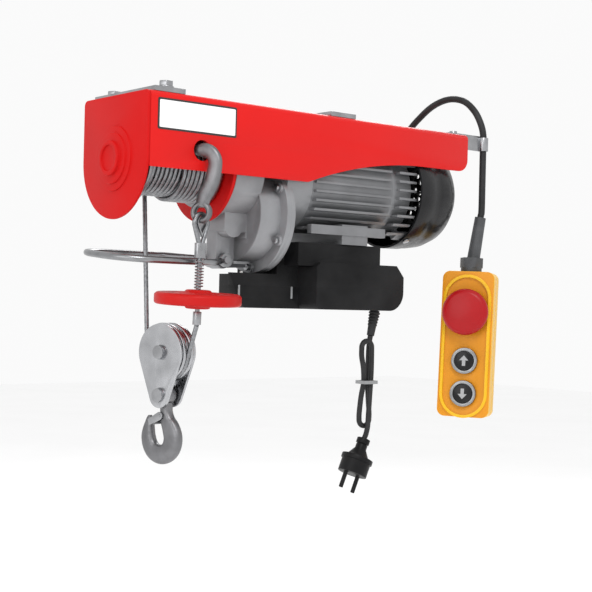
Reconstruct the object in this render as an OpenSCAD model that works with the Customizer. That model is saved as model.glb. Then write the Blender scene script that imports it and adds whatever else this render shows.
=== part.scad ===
// Electric wire rope hoist with a two-fall hook block and a hand pendant.
// X runs from the drum end to the motor end, Y across the frame, Z up.
// The origin is in the clamping face, at the middle of the four clamp bolts.

/* [Frame] */
// Length of the folded steel frame
frame_l = 450; // [430:1:560]
// Width over the side plates
frame_w = 122; // [120:1:150]
// Thickness of the frame sheet
frame_t = 3; // [2:0.5:4]
// Outer radius of the folds
bend_r = 6; // [5:0.5:8]
// Depth of the side plates beside the drum
side_h = 75; // [70:1:90]
// Depth of the side plates beside the motor
tail_h = 44; // [36:1:50]
// Where the deep part of the side plates ends
step_x = 205; // [195:1:230]
// Where the sweep of the lower edge ends
sweep_x = 380; // [340:1:400]
// Radius of the lower rear corners
tail_r = 14; // [5:1:20]
// Depth of the drum axis below the top face
drum_drop = 64; // [62:1:72]

/* [Beam clamps] */
// Position of the front clamp
clamp_front_x = 28; // [24:1:40]
// Position of the rear clamp
clamp_rear_x = 256; // [200:1:300]
// Distance from a clamp bolt to the side of the frame
clamp_edge = 12.5; // [12.5:0.5:18]
// Clearance hole for a clamp bolt
clamp_hole_d = 8.4; // [8.2:0.1:9]
// Width of a clamp strap
strap_w = 36; // [28:1:44]
// Thickness of a clamp strap
strap_t = 5; // [4.8:0.1:6]

/* [Drum and rope] */
// Diameter of the wire rope
rope_d = 5; // [4:0.1:5.2]
// Outer diameter of the drum barrel
barrel_d = 59.4; // [50:0.1:62]
// Diameter of the drum flanges
drum_flange_d = 86; // [82:1:96]
// Where the drum begins
drum_x0 = 16; // [15:0.5:20]
// Where the drum ends
drum_x1 = 106; // [100:0.5:106]
// Turns in the full first layer of rope
layer_turns = 15; // [12:1:15]
// Turns in the second layer, next to the gearbox
second_turns = 8; // [3:1:10]
// Diameter of the drum shaft
drum_shaft_d = 17; // [15:0.5:18]

/* [Gearbox] */
// Front face of the bulkhead plate
bulk_x = 108; // [108:0.5:112]
// Thickness of the bulkhead plate
bulk_t = 4; // [3:0.5:5]
// Outer radius of the drum gear housing
neck_r = 53; // [51:0.5:55]
// Outer radius of the main gear case
case_r = 50; // [48:0.5:51]
// Radius of the gear case flange
flange_r = 62; // [58:0.5:62]
// Thickness of the gear case wall
case_wall = 4; // [3:0.5:5]
// Drop from the drum axis to the layshaft
lay_drop = 45; // [45:1:45]
// Drop from the drum axis to the motor axis
motor_drop = 9; // [9:1:9]

/* [Motor] */
// Radius over the cooling fins
fin_r = 61; // [58:0.5:62]
// Radius of the motor shell under the fins
shell_r = 53; // [51:0.5:54]
// Distance between the cooling fins
fin_pitch = 9.8; // [8:0.1:12]
// Thickness of a cooling fin
fin_t = 2.6; // [2:0.1:4]
// Radius of the fan cover
fan_cover_r = 64; // [62:0.5:66]

/* [Hook block] */
// Pitch radius of the sheave
sheave_r = 28; // [27:0.5:31]
// Radius of the top of a block plate
plate_r = 29; // [26:0.5:31]
// Distance between the outer faces of the block plates
block_w = 23; // [21:0.5:28]
// Distance between the two block pins
pin_gap = 44; // [42:0.5:50]
// Diameter of the block pins
block_pin_d = 10; // [8:0.5:11]
// Thickness of the load hook
hook_t = 13; // [10:0.5:14]

/* [Pendant] */
// Width of the pendant
pendant_w = 62; // [62:1:76]
// Height of the pendant
pendant_h = 174; // [165:1:200]
// Depth of the pendant
pendant_d = 38; // [34:1:46]
// Diameter of the stop button
stop_d = 55; // [40:1:56]
// Diameter of an up or down button
button_d = 23; // [18:0.5:24]

/* [Cords] */
// Diameter of the mains cord
mains_d = 6; // [5:0.1:7]
// Diameter of the pendant cord
pendant_cord_d = 8; // [6:0.1:8]

/* [Hidden] */
$fn = 64;
fit = 0.1;
running = 0.05;
gap = 0.3;
bed = 0.02;

origin_x = (clamp_front_x + clamp_rear_x) / 2;
half_w = frame_w / 2;
inner_w = half_w - frame_t;
clamp_y = half_w - clamp_edge;
drum_z = -drum_drop;
lay_z = drum_z - lay_drop;
motor_z = drum_z - motor_drop;
case_z = lay_z - 2;
bolt_d = 8;
hex_af = 13;
hex_h = 5.3;

// drum shaft bearings, 17 x 35 x 10, and motor bearings, 15 x 35 x 11
bearing_od = 35;
bearing_w = 10;
front_bearing_x = 4;
rear_bearing_x = bulk_x + bulk_t + 2;
motor_bearing_x = 186;
tail_bearing_x = 344;
motor_shaft_d = 15;

barrel_r = barrel_d / 2;
rope_r = rope_d / 2;
turn_pitch = rope_d * 1.06;
first_layer_r = barrel_r + rope_r + bed;
layer_step = rope_d * 0.88;
second_layer_r = first_layer_r + layer_step;
winding_end = drum_x1 - 4 - rope_r - gap;
fall_x = winding_end - (second_turns - 0.5) * turn_pitch;

// gear case, front to back
neck_x = bulk_x + bulk_t + 4;
case_x = 150;
flange_x = 176;
flange_t = 5;
cover_x = flange_x + flange_t;
cover_t = 6;
shell_x = 216;
drum_gear_x = 134;
drum_gear_w = 12;
lay_gear_x = 160;
lay_gear_w = 10;

// gear teeth
drum_module = 1.5;
drum_teeth = 49;
lay_pinion_teeth = 11;
motor_module = 1;
lay_teeth = 63;
motor_pinion_teeth = 9;
pressure = 25;
addendum = 0.75;
dedendum = 1.0;
backlash = 0.16;

// rope anchor in the near side plate
anchor_x = 65.3;
anchor_z = -54.5;
anchor_hole_r = 10.5;
anchor_turn = -60;
eye_drop = 62;
eye_r = 11.5;
eye_hole_r = 5.5;
anchor_t = 9;
loop_r = 9.2;
thimble_turn = 10;
loop_z = anchor_z - eye_drop - 10.7;
ferrule_top_z = loop_z - 20;
ferrule_l = 15;
stack_top = [anchor_x, -half_w - 0.4, ferrule_top_z];
stack_end = [66, -half_w + 4, -230];

// hook block
block_c = [59, -16, -258];
block_turn = 13.6;
plate_t = 3;
plate_in = block_w / 2 - plate_t;
sheave_w = 2 * plate_in - 2;
sheave_rim = sheave_r + 2;
foot_r = 13;
pin_head_r = 7;
pin_head_t = 3;

// limit lever
lever_x = 132;
lever_z = -161;
lever_rod_d = 7;
ring_half = 49;
ring_front = -16;
ring_tilt = 4.5;
ring_corner = 38;
lever_pin_d = 8;
lug_half = 9;
eye_w = 7;
tail_x = 157;

// electrics box under the motor
box_top = -174;
box_seam = -187;
box_floor = -211;
box_wall = 3;
box_x0 = 129;
box_x1 = 352;
box_near = -26;
box_far = 45;
bulge_x0 = 222;
bulge_near = -58;
switch_x = 153;
switch_y = -14;
riser_x0 = 202;
riser_x1 = 322;
riser_near = -50;
box_screw_x = 190;
bulge_top = -160;
riser_top = -158;
saddle_top = motor_z - 66;

// pendant, hung from the bracket at the tail
hang_x = frame_l + 34;
hang_y = -54;
hang_z = -8;
pendant_top = -162;
pendant_turn = -57;
pendant_lean = 2;
pendant_at = [hang_x - 8.5, hang_y + 7, pendant_top];
sleeve_top = [483, -53.2, -96];
sleeve_run = sleeve_top - pendant_at;
rim_w = 57;
rim_t = 3.5;
rim_h = 3;
shell_t = 2.6;
front_share = 22;
stop_z = -49;
up_z = -107;
down_z = -146;

// route of the mains cord: relief to tie, loop above the tie, and lead to the plug
mains_tie = [314, -43, -292];
hank_top = -294;
hank_end = -346;
mains_route = [[319, -40, -240], [318, -40, -248], [317, -39.5, -262], [317, -39.5, -276],
    [317, -39.5, -286], [317, -39.5, hank_top]];
mains_loop = [[307, -46, hank_top], [306, -46, -284], [303, -46, -270], [300.5, -46, -258],
    [302, -46, -248], [308, -46.5, -243.5], [313.5, -46.5, -249], [315, -46.5, -262],
    [315, -46.5, -278], [315, -46.5, hank_top]];
mains_lead = [[311, -43, hank_end], [310, -43, -356]];

// route of the pendant cord: sleeve, bracket clip, over the tail, coil behind the frame, gland
pendant_route = [pendant_at + 0.08 * sleeve_run, pendant_at + 0.5 * sleeve_run, sleeve_top,
    pendant_at + 1.12 * sleeve_run, [484, -54, -60], [484, -54, -28], [484, -54, -12],
    [484, -54, 2], [483, -51, 16], [481, -42, 33], [478, -26, 47], [474, -4, 51],
    [470, 20, 44], [466, 42, 28], [462, 58, 12], [451, 68.5, -2], [434, 70.3, -12],
    [412, 69.8, -18], [380, 69.8, -23], [346, 69.8, -24], [312, 69.8, -22], [280, 69.8, -19],
    [248, 69.8, -16.5], [222, 69.8, -16]];
gland_route = [[300, 73, -170], [300, 78, -170], [298, 84, -163], [292, 87, -150], [282, 86, -136],
    [269, 81, -124], [254, 73.5, -113], [237, 69.8, -105], [219, 69.8, -100.5]];
coil_c = [205, 69.8, -58];
coil_r = 38.5;
coil_half = pendant_cord_d;

// ---- placing helpers ----

module place() { translate([-origin_x, 0, 0]) children(); }

// Turns a shape made along Z so that it lies along X.
module lay_x(x = 0, y = 0, z = 0) { translate([x, y, z]) rotate([0, 90, 0]) children(); }

module rod_x(x0, x1, r, y = 0, z = 0) { lay_x(x0, y, z) cylinder(h = x1 - x0, r = r); }

module rod_y(y0, y1, r, x = 0, z = 0) {
    translate([x, y1, z]) rotate([90, 0, 0]) cylinder(h = y1 - y0, r = r);
}

module rod_z(z0, z1, r, x = 0, y = 0) { translate([x, y, z0]) cylinder(h = z1 - z0, r = r); }

// A box given by its lowest and highest corners.
module span(low, high) { translate(low) cube(high - low); }

// Extrudes an outline drawn in (Y, Z) from x0 along X.
module plate_yz(x0, length) {
    translate([x0, 0, 0]) rotate([90, 0, 90]) linear_extrude(length) children();
}

// Extrudes an outline drawn in (X, Z) from y0 along Y.
module plate_xz(y0, length) {
    translate([0, y0 + length, 0]) rotate([90, 0, 0]) linear_extrude(length) children();
}

// Straight round bar between two points.
module bar(a, b, r) {
    d = b - a;
    translate(a) rotate([0, acos(d[2] / norm(d)), atan2(d[1], d[0])])
        cylinder(h = norm(d), r = r);
}

// ---- swept tubes ----

function unit(v) = v / norm(v);
function at_end(p, i) = p[max(0, min(len(p) - 1, i))];
function blend(a, b, c, d, t) = 0.5 * (2 * b + (c - a) * t + (2 * a - 5 * b + 4 * c - d) * t * t
    + (3 * b - a - 3 * c + d) * t * t * t);
function spline(p, steps) = concat([for (i = [0:len(p) - 2], j = [0:steps - 1])
    blend(at_end(p, i - 1), p[i], p[i + 1], at_end(p, i + 2), j / steps)], [p[len(p) - 1]]);
function heading(p, i) = unit(at_end(p, i + 1) - at_end(p, i - 1));
function square_to(v, t) = unit(v - (v * t) * t);
function sides_of(p, first) = [for (i = 0, n = square_to(first, heading(p, 0)); i < len(p);
    i = i + 1, n = i < len(p) ? square_to(n, heading(p, i)) : n) n];

module tube(p, r, sides = 8, first = [0.3, 1, 0.2]) {
    count = len(p);
    n = sides_of(p, first);
    rings = [for (i = [0:count - 1], j = [0:sides - 1])
        p[i] + r * (cos(360 * j / sides) * n[i]
            + sin(360 * j / sides) * cross(heading(p, i), n[i]))];
    walls = [for (i = [0:count - 2], j = [0:sides - 1])
        [i * sides + j, (i + 1) * sides + j, (i + 1) * sides + (j + 1) % sides,
            i * sides + (j + 1) % sides]];
    polyhedron(rings, concat(walls, [[for (j = [0:sides - 1]) j]],
        [[for (j = [sides - 1:-1:0]) (count - 1) * sides + j]]), convexity = 10);
}

// ---- gears ----

// Angle between the start of an involute and its point at radius r.
function involute_turn(base, r) = r <= base ? 0
    : sqrt(r * r / (base * base) - 1) * 180 / PI - acos(base / r);

module gear_outline(m, teeth) {
    pitch = m * teeth / 2;
    base = pitch * cos(pressure);
    tip = pitch + addendum * m;
    root = pitch - dedendum * m;
    half = 90 / teeth - backlash / 2 / pitch * 180 / PI + involute_turn(base, pitch);
    radii = [for (k = [0:4]) max(root, base) + (tip - max(root, base)) * k / 4];
    flank = concat(root < base ? [[root, half]] : [],
        [for (r = radii) [r, half - involute_turn(base, r)]]);
    last = len(flank) - 1;
    polygon([for (k = [0:teeth - 1], s = [-1, 1], i = [0:last])
        let (p = flank[s < 0 ? i : last - i], a = k * 360 / teeth + s * p[1])
        p[0] * [cos(a), sin(a)]]);
}

// Gear along X, with a tooth at the angle given, measured from +Y towards +Z.
module gear(x0, width, m, teeth, tooth_at) {
    plate_yz(x0, width) rotate(tooth_at) gear_outline(m, teeth);
}

// ---- frame ----

module channel_outline(w, h, r) {
    translate([-w / 2, -h]) square([w, h - r]);
    translate([-w / 2 + r, -h]) square([w - 2 * r, h]);
    for (s = [-1, 1]) translate([s * (w / 2 - r), -r]) circle(r);
}

// Space below the lower edge of the side plates.
module side_cut() {
    rise = side_h - tail_h;
    run = sweep_x - step_x;
    sweep_r = (run * run + rise * rise) / (2 * rise);
    plate_xz(-half_w - 1, frame_w + 2) {
        translate([sweep_x, -tail_h - sweep_r]) circle(sweep_r, $fn = 200);
        translate([sweep_x, -side_h - 1]) square([frame_l - sweep_x + 1, rise + 1]);
        difference() {
            translate([frame_l - tail_r, -tail_h - 1]) square([tail_r + 1, tail_r + 1]);
            translate([frame_l - tail_r, -tail_h + tail_r]) circle(tail_r);
        }
    }
}

module clamp_points() {
    for (x = [clamp_front_x, clamp_rear_x], s = [-1, 1]) translate([x, s * clamp_y, 0]) children();
}

module frame_channel() place() color("#e62a24") difference() {
    plate_yz(frame_t, frame_l - frame_t) difference() {
        channel_outline(frame_w, side_h, bend_r);
        translate([0, -frame_t]) channel_outline(frame_w - 2 * frame_t, side_h, bend_r - frame_t);
    }
    side_cut();
    clamp_points() rod_z(-frame_t - 1, 1, clamp_hole_d / 2);
    rod_y(-half_w - 1, -inner_w + 1, anchor_hole_r, anchor_x, anchor_z);
    for (z = tie_slots) span([coil_c[0] - 3, inner_w - 1, z - 1.5], [coil_c[0] + 3, half_w + 1, z + 1.5]);
    for (y = bracket_bolts) rod_z(-frame_t - 1, 1, 2.6, frame_l - 10, y);
}

module front_plate() place() color("#c8201e") {
    difference() {
        union() {
            plate_yz(0, frame_t) {
                channel_outline(frame_w, drum_drop, bend_r);
                translate([0, drum_z]) circle(half_w);
            }
            rod_x(-2, 0, 33, 0, drum_z);
            rod_x(-4, 0, 26, 0, drum_z);
            rod_x(-7.5, 0, 18, 0, drum_z);
            rod_x(0, front_bearing_x + bearing_w, bearing_od / 2 + 4, 0, drum_z);
        }
        rod_x(front_bearing_x, front_bearing_x + bearing_w + 1, bearing_od / 2 + bed, 0, drum_z);
        rod_x(-4, front_bearing_x + 1, drum_shaft_d / 2 + 1, 0, drum_z);
        rod_x(-8, -5.5, 13, 0, drum_z);
    }
}

module bulkhead() place() color("#c8201e") difference() {
    plate_yz(bulk_x, bulk_t) {
        translate([0, -frame_t]) channel_outline(2 * inner_w, drum_drop - frame_t, bend_r);
        translate([0, drum_z]) circle(inner_w);
    }
    rod_x(bulk_x - 1, bulk_x + bulk_t + 1, bearing_od / 2 + 5, 0, drum_z);
}

// ---- beam clamps ----

module clamp_straps() place() color("#b9bcc0")
    for (x = [clamp_front_x, clamp_rear_x]) difference() {
        span([x - strap_w / 2, -half_w + 4, 0], [x + strap_w / 2, half_w - 4, strap_t]);
        for (s = [-1, 1]) {
            rod_z(-1, strap_t + 1, clamp_hole_d / 2, x, s * clamp_y);
            if (x == clamp_rear_x) translate([x, s * clamp_y, strap_t - 4.6])
                cylinder(h = 4.61, r1 = bolt_d / 2 + bed, r2 = bolt_d + 0.61);
        }
    }

module clamp_bolts() place() color("#c9ccd0") {
    for (s = [-1, 1]) {
        translate([clamp_front_x, s * clamp_y, 0]) {
            rod_z(-frame_t - 9, strap_t + 1.6, bolt_d / 2 - fit);
            translate([0, 0, strap_t + 1.6]) cylinder(h = hex_h, d = hex_af / cos(30), $fn = 6);
        }
        translate([clamp_rear_x, s * clamp_y, 0]) {
            rod_z(-frame_t - 9, strap_t - 4.5, bolt_d / 2 - fit);
            translate([0, 0, strap_t - 4.6]) cylinder(h = 4.5, r1 = bolt_d / 2 - fit, r2 = bolt_d + 0.4);
        }
    }
}

module clamp_washers() place() color("#b9bcc0")
    for (s = [-1, 1]) translate([clamp_front_x, s * clamp_y, strap_t]) difference() {
        cylinder(h = 1.6, r = 8);
        rod_z(-1, 3, bolt_d / 2 + 0.2);
    }

module clamp_nuts() place() color("#b9bcc0") clamp_points() difference() {
    translate([0, 0, -frame_t - 6.5]) rotate([0, 0, 30])
        cylinder(h = 6.5 - bed, d = hex_af / cos(30), $fn = 6);
    rod_z(-frame_t - 8, 0, bolt_d / 2);
}

// ---- rope anchor ----

// Works in the plane of the anchor hook: u away from the plate, v up.
module anchor_plane() {
    translate([anchor_x, -half_w, anchor_z]) rotate([0, 0, anchor_turn]) rotate([90, 0, 0])
        translate([0, 0, -anchor_t / 2]) children();
}

module anchor_hook() place() color("#8d9196") difference() {
    anchor_plane() difference() {
        union() {
            difference() {
                translate([0.5, -13.5, 0]) cylinder(h = anchor_t, r = 21.5);
                translate([0, 0, -1]) linear_extrude(anchor_t + 2)
                    polygon([[0.5, -13.5], [-20, 12], [-40, 12], [-40, -50], [40, -50], [40, -13.5]]);
            }
            linear_extrude(anchor_t) polygon([[5, -10], [20, -10], [22, -13.5], [20, -28], [14, -41],
                [9.5, -51], [9, -60], [-8, -56], [-4, -46], [3, -30], [7, -13.5]]);
            translate([0.5, -eye_drop, 0]) cylinder(h = anchor_t, r = eye_r);
        }
        translate([0.5, -13.5, -1]) cylinder(h = anchor_t + 2, r = 6.5);
        translate([0.5, -eye_drop, -1]) cylinder(h = anchor_t + 2, r = eye_hole_r);
    }
    // seat worn to the thimble
    loop_plane() rotate([90, 0, 0]) rotate_extrude() translate([loop_r, 0]) circle(rope_r + 2.1);
}

// Works in the plane of the rope loop, centred on the top bend.
module loop_plane() {
    translate([anchor_x, -half_w - 0.4, loop_z]) rotate([0, 0, thimble_turn]) children();
}

leg_x = 2.6;
loop_points = concat([[-leg_x, 0, -21.2], [-leg_x - 0.4, 0, -18.5]],
    [for (a = [200:-20:-20]) loop_r * [cos(a), 0, sin(a)]],
    [[leg_x + 0.4, 0, -18.5], [leg_x, 0, -21.2]]);

module rope_end() place() color("#9a9da1") {
    loop_plane() tube(loop_points, rope_r, 10, [0, 1, 0]);
    bar(stack_top + stack_dir, stack_end - 0.8 * stack_dir, rope_r);
}

thimble_w = 4.6;
module thimble() {
    inner = loop_r - rope_r - 1.2;
    loop_plane() rotate([90, 0, 0]) translate([0, 0, -thimble_w / 2]) difference() {
        linear_extrude(thimble_w) {
            circle(loop_r - rope_r - bed);
            polygon([[-6, -2.8], [6, -2.8], [0, -14]]);
        }
        translate([0, 0, -1]) linear_extrude(thimble_w + 2) {
            circle(inner);
            polygon([[-4.2, -3.4], [4.2, -3.4], [0, -10.5]]);
        }
    }
}

module rope_fittings() place() color("#b4b7bb") {
    thimble();
    // upper ferrule, crimped over both legs of the loop
    translate([stack_top[0], stack_top[1], ferrule_top_z]) rotate([0, 0, thimble_turn]) difference() {
        union() {
            for (s = [-1, 1]) rod_z(-ferrule_l, 0, rope_r + 1.6, s * leg_x, 0);
            span([-leg_x, -rope_r - 1.6 + fit, -ferrule_l], [leg_x, rope_r + 1.6 - fit, 0]);
        }
        span([-leg_x, -rope_r - 0.3, -1.4], [leg_x, rope_r + 0.3, 1]);
        for (s = [-1, 1]) rod_z(-1.4, 1, rope_r + 0.3, s * leg_x, 0);
        rod_z(-ferrule_l - 1, 0, rope_r + 0.9);
    }
    // lower ferrule
    difference() {
        along_rope(stack_end[2] + 7.5) cylinder(h = 13, r = rope_r + 1.8, center = true);
        along_rope(stack_end[2] + 7.5) cylinder(h = 20, r = rope_r + bed, center = true);
    }
}

// ---- rope stop ----

stack_dir = unit(stack_end - stack_top);
disc_z = -203;
function on_stack(z) = stack_top + stack_dir * ((z - stack_top[2]) / stack_dir[2]);

// Turns Z onto the line of the hanging rope end.
module along_rope(z) {
    up = -stack_dir;
    translate(on_stack(z)) rotate([0, acos(up[2]), atan2(up[1], up[0])]) children();
}

disc_r = 44;
module rope_stop_disc() place() color("#d8322c") along_rope(disc_z) difference() {
    rotate_extrude() polygon([[rope_r + 0.6, -10], [12, -10], [14, -6], [36, -4], [disc_r - 2, -6.5],
        [disc_r, -4.5], [disc_r, 3.5], [disc_r - 3, 6], [34, 3.5], [14, 7], [12, 9], [rope_r + 0.6, 9]]);
}

spring_r = 4.1;
spring_wire = 0.7;
spring_top = ferrule_top_z - ferrule_l - gap;
spring_turns = 10;
module stop_spring() place() color("#a9acb0") {
    length = (spring_top - disc_z) - 9 - 2 * spring_wire - 2 * gap;
    along_rope(spring_top) tube([for (i = [0:spring_turns * 12])
        [spring_r * cos(30 * i), spring_r * sin(30 * i),
            -spring_wire - length * i / (spring_turns * 12)]], spring_wire, 6, [1, 0, 0]);
}

// ---- drum ----

module drum_barrel() place() color("#7e8186") translate([0, 0, drum_z]) lay_x() difference() {
    rotate_extrude() polygon([[drum_shaft_d / 2 + running, drum_x0], [drum_flange_d / 2, drum_x0],
        [drum_flange_d / 2, drum_x0 + 4], [barrel_r, drum_x0 + 4], [barrel_r, drum_x1 - 4],
        [drum_flange_d / 2, drum_x1 - 4], [drum_flange_d / 2, drum_x1],
        [drum_shaft_d / 2 + running, drum_x1], [drum_shaft_d / 2 + running, drum_x1 - 14],
        [barrel_r - 5, drum_x1 - 14], [barrel_r - 5, drum_x0 + 14],
        [drum_shaft_d / 2 + running, drum_x0 + 14]]);
}

module rope_winding() place() color("#8f9296") translate([0, 0, drum_z]) lay_x() {
    first_x = winding_end - (layer_turns - 1) * turn_pitch;
    second_x = winding_end - (second_turns - 1.5) * turn_pitch;
    rotate_extrude() {
        translate([barrel_r + bed, first_x]) square([rope_r, winding_end - first_x]);
        translate([barrel_r + bed, second_x])
            square([rope_r + layer_step, winding_end - turn_pitch / 2 - second_x]);
        for (i = [0:layer_turns - 1])
            translate([first_layer_r, winding_end - i * turn_pitch]) circle(rope_r - bed);
        for (i = [0:second_turns - 2])
            translate([second_layer_r, winding_end - (i + 0.5) * turn_pitch]) circle(rope_r - bed);
    }
    // last turn, which ends where the rope hangs off the drum
    rotate([0, 0, 90]) rotate_extrude(angle = 270) translate([second_layer_r, fall_x]) circle(rope_r - bed);
}

module drum_shaft() place() color("#b4b7bb") {
    rod_x(-3, drum_gear_x + drum_gear_w, drum_shaft_d / 2, 0, drum_z);
    rod_x(drum_gear_x + drum_gear_w, drum_gear_x + drum_gear_w + 2, drum_shaft_d / 2 + 2, 0, drum_z);
}

module drum_gear() place() color("#9b9ea2") difference() {
    translate([0, 0, drum_z]) gear(drum_gear_x, drum_gear_w, drum_module, drum_teeth, -90);
    rod_x(drum_gear_x - 1, drum_gear_x + drum_gear_w + 1, drum_shaft_d / 2 + running, 0, drum_z);
    for (a = [0:60:300]) translate([0, 0, drum_z]) rotate([a, 0, 0])
        rod_x(drum_gear_x - 1, drum_gear_x + drum_gear_w + 1, 7, 0, 22);
}

// ---- layshaft and motor ----

bush_id = 10;
bush_od = 16;
module lay_shaft() place() color("#a5a8ac") translate([0, 0, lay_z]) {
    rod_x(123, drum_gear_x - 2, bush_id / 2 - running);
    gear(drum_gear_x - 2, drum_gear_w + 4, drum_module, lay_pinion_teeth, 90 + 180 / lay_pinion_teeth);
    rod_x(drum_gear_x + drum_gear_w + 2, 174, 6);
    rod_x(174, 184, bush_id / 2 - running);
}

module lay_gear() place() color("#9b9ea2") difference() {
    translate([0, 0, lay_z]) {
        gear(lay_gear_x, lay_gear_w, motor_module, lay_teeth, 90);
        rod_x(lay_gear_x - 5, lay_gear_x, 11);
    }
    rod_x(lay_gear_x - 6, lay_gear_x + lay_gear_w + 1, 6 + running, 0, lay_z);
    for (a = [0:72:288]) translate([0, 0, lay_z]) rotate([a, 0, 0])
        rod_x(lay_gear_x - 1, lay_gear_x + lay_gear_w + 1, 6, 0, 20);
}

module layshaft_bushes() place() color("#b08d4a") for (x = [123, 175]) difference() {
    rod_x(x, x + 8, bush_od / 2, 0, lay_z);
    rod_x(x - 1, x + 9, bush_id / 2, 0, lay_z);
}

module rotor() place() color("#8b8e92") translate([0, 0, motor_z]) {
    gear(157, 15, motor_module, motor_pinion_teeth, -90 + 180 / motor_pinion_teeth);
    rod_x(172, 183, 5);
    rod_x(183, 357, motor_shaft_d / 2);
    rod_x(232, 312, 28);
    rod_x(357, 392, 6);
}

module bearing(x, bore, width) {
    lay_x(x) rotate_extrude() difference() {
        translate([bore / 2 + bed, 0]) square([bearing_od / 2 - bore / 2 - bed, width]);
        mid = (bearing_od + bore) / 4;
        for (z = [-0.1, width - 0.9]) translate([mid - 2.2, z]) square([4.4, 1]);
    }
}

module bearings() place() color("#c3c6ca") {
    translate([0, 0, drum_z]) {
        bearing(front_bearing_x, drum_shaft_d, bearing_w);
        bearing(rear_bearing_x, drum_shaft_d, bearing_w);
    }
    translate([0, 0, motor_z]) {
        bearing(motor_bearing_x, motor_shaft_d, 11);
        bearing(tail_bearing_x, motor_shaft_d, 11);
    }
}

// ---- gear case ----

module flange_screw_points() {
    for (a = [-90:60:210]) translate([0, 0, case_z]) rotate([a, 0, 0]) translate([0, flange_r - 6, 0])
        children();
}

module gearbox_housing() place() color("#85898e") difference() {
    union() {
        rod_x(bulk_x + bulk_t, neck_x, neck_r - 13, 0, drum_z);
        rod_x(bulk_x, bulk_x + bulk_t, bearing_od / 2 + 5 - fit, 0, drum_z);
        rod_x(neck_x, case_x + 2, neck_r, 0, drum_z);
        rod_x(case_x, flange_x, case_r, 0, case_z);
        rod_x(flange_x, cover_x, flange_r, 0, case_z);
        flange_screw_points() rod_x(flange_x - 3, flange_x + 1, 5.6);
        span([122, -24, -131], [case_x, 24, lay_z]);
        rod_y(-24, 24, 12, 134, -125);
        span([126, -lug_half, lever_z - 5], [146, lug_half, -128]);
        span([lever_x - 9, -lug_half, lever_z - 2], [lever_x + 2, lug_half, -128]);
        rod_y(-lug_half, lug_half, 9, lever_x, lever_z);
    }
    rod_x(rear_bearing_x, rear_bearing_x + bearing_w + 8, bearing_od / 2 + bed, 0, drum_z);
    rod_x(bulk_x - 1, 140, drum_shaft_d / 2 + 2, 0, drum_z);
    rod_x(130, case_x + 5, neck_r - case_wall - 5, 0, drum_z);
    rod_x(122.9, 131, bush_od / 2 + bed, 0, lay_z);
    rod_x(131, case_x + case_wall + 1, 12, 0, lay_z);
    rod_x(case_x + case_wall, cover_x + 1, case_r - case_wall, 0, case_z);
    rod_x(case_x + case_wall, cover_x + 1, 8.5, 0, motor_z);
    flange_screw_points() rod_x(flange_x - 12, cover_x + 1, 2.5 + fit);
    rod_y(-lug_half - 1, lug_half + 1, lever_pin_d / 2 + running, lever_x, lever_z);
    // shallow dish in the front wall of the case
    difference() {
        rod_x(case_x - 1, case_x + 1, case_r - 3, 0, case_z);
        rod_x(case_x - 2, case_x + 2, neck_r, 0, drum_z);
        span([case_x - 2, -24, -137], [case_x + 2, 24, lay_z]);
    }
}

module gearbox_cover() place() color("#8c9095") difference() {
    union() {
        rod_x(cover_x, cover_x + cover_t, flange_r, 0, case_z);
        rod_x(174, cover_x, bush_od / 2 + 4, 0, lay_z);
        difference() {
            rod_x(cover_x, shell_x, shell_r + 2, 0, motor_z);
            rod_x(cover_x + cover_t, shell_x + 1, shell_r - 2, 0, motor_z);
        }
        rod_x(cover_x + cover_t - 1, motor_bearing_x + 11, bearing_od / 2 + 4, 0, motor_z);
    }
    rod_x(173, 183, bush_od / 2 + bed, 0, lay_z);
    rod_x(182, cover_x + 4, 6, 0, lay_z);
    rod_x(170, cover_x + cover_t + 1, 7.6, 0, motor_z);
    rod_x(motor_bearing_x, motor_bearing_x + 12, bearing_od / 2 + bed, 0, motor_z);
    flange_screw_points() rod_x(cover_x - 1, cover_x + cover_t + 1, 2.5 + fit);
}

module finned(x0, length) {
    intersection() {
        rod_x(x0, x0 + length, fin_r, 0, motor_z);
        for (k = [-5:5]) span([x0, -inner_w + 1.5, motor_z + k * fin_pitch - fin_t / 2],
            [x0 + length, inner_w - 1.5, motor_z + k * fin_pitch + fin_t / 2]);
    }
}

foot_x = 262;
foot_end = 325;
module motor_housing() place() color("#7d8186") difference() {
    union() {
        rod_x(shell_x, 336, shell_r, 0, motor_z);
        finned(shell_x + 4, 112);
        span([foot_x, -52, saddle_top], [300, 52, motor_z - 44]);
        span([shell_x, 47, motor_z - 56], [foot_end, 54, motor_z - 46]);
        span([shell_x, -54, motor_z - 56], [foot_end, -47, motor_z - 46]);
    }
    rod_x(shell_x - 1, 337, shell_r - 4, 0, motor_z);
}

module stator_core() place() color("#6d5a48") difference() {
    union() {
        rod_x(226, 318, shell_r - 4 - bed, 0, motor_z);
        rod_x(218, 326, shell_r - 8, 0, motor_z);
    }
    rod_x(217, 327, 28.6, 0, motor_z);
}

module rear_end_shield() place() color("#7d8186") difference() {
    union() {
        rod_x(336, 342, shell_r, 0, motor_z);
        rod_x(342, 366, shell_r - 1, 0, motor_z);
        finned(344, 27);
        fan_cover_lugs();
    }
    rod_x(335, 341, shell_r - 4, 0, motor_z);
    rod_x(340, 355, bearing_od / 2 + bed, 0, motor_z);
    rod_x(350, 367, motor_shaft_d / 2 + 1, 0, motor_z);
    rod_x(359, 367, shell_r - 6, 0, motor_z);
    rod_x(366, 372, shell_r - 0.5, 0, motor_z);
}

module cooling_fan() place() color("#2c2d30") translate([0, 0, motor_z]) difference() {
    union() {
        rod_x(371, 389, 11);
        rod_x(371, 373.5, 50);
        for (a = [0:45:315]) rotate([a, 0, 0]) span([371, -1, 9], [387, 1, 51]);
    }
    rod_x(370, 390, 6 + running);
}

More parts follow.
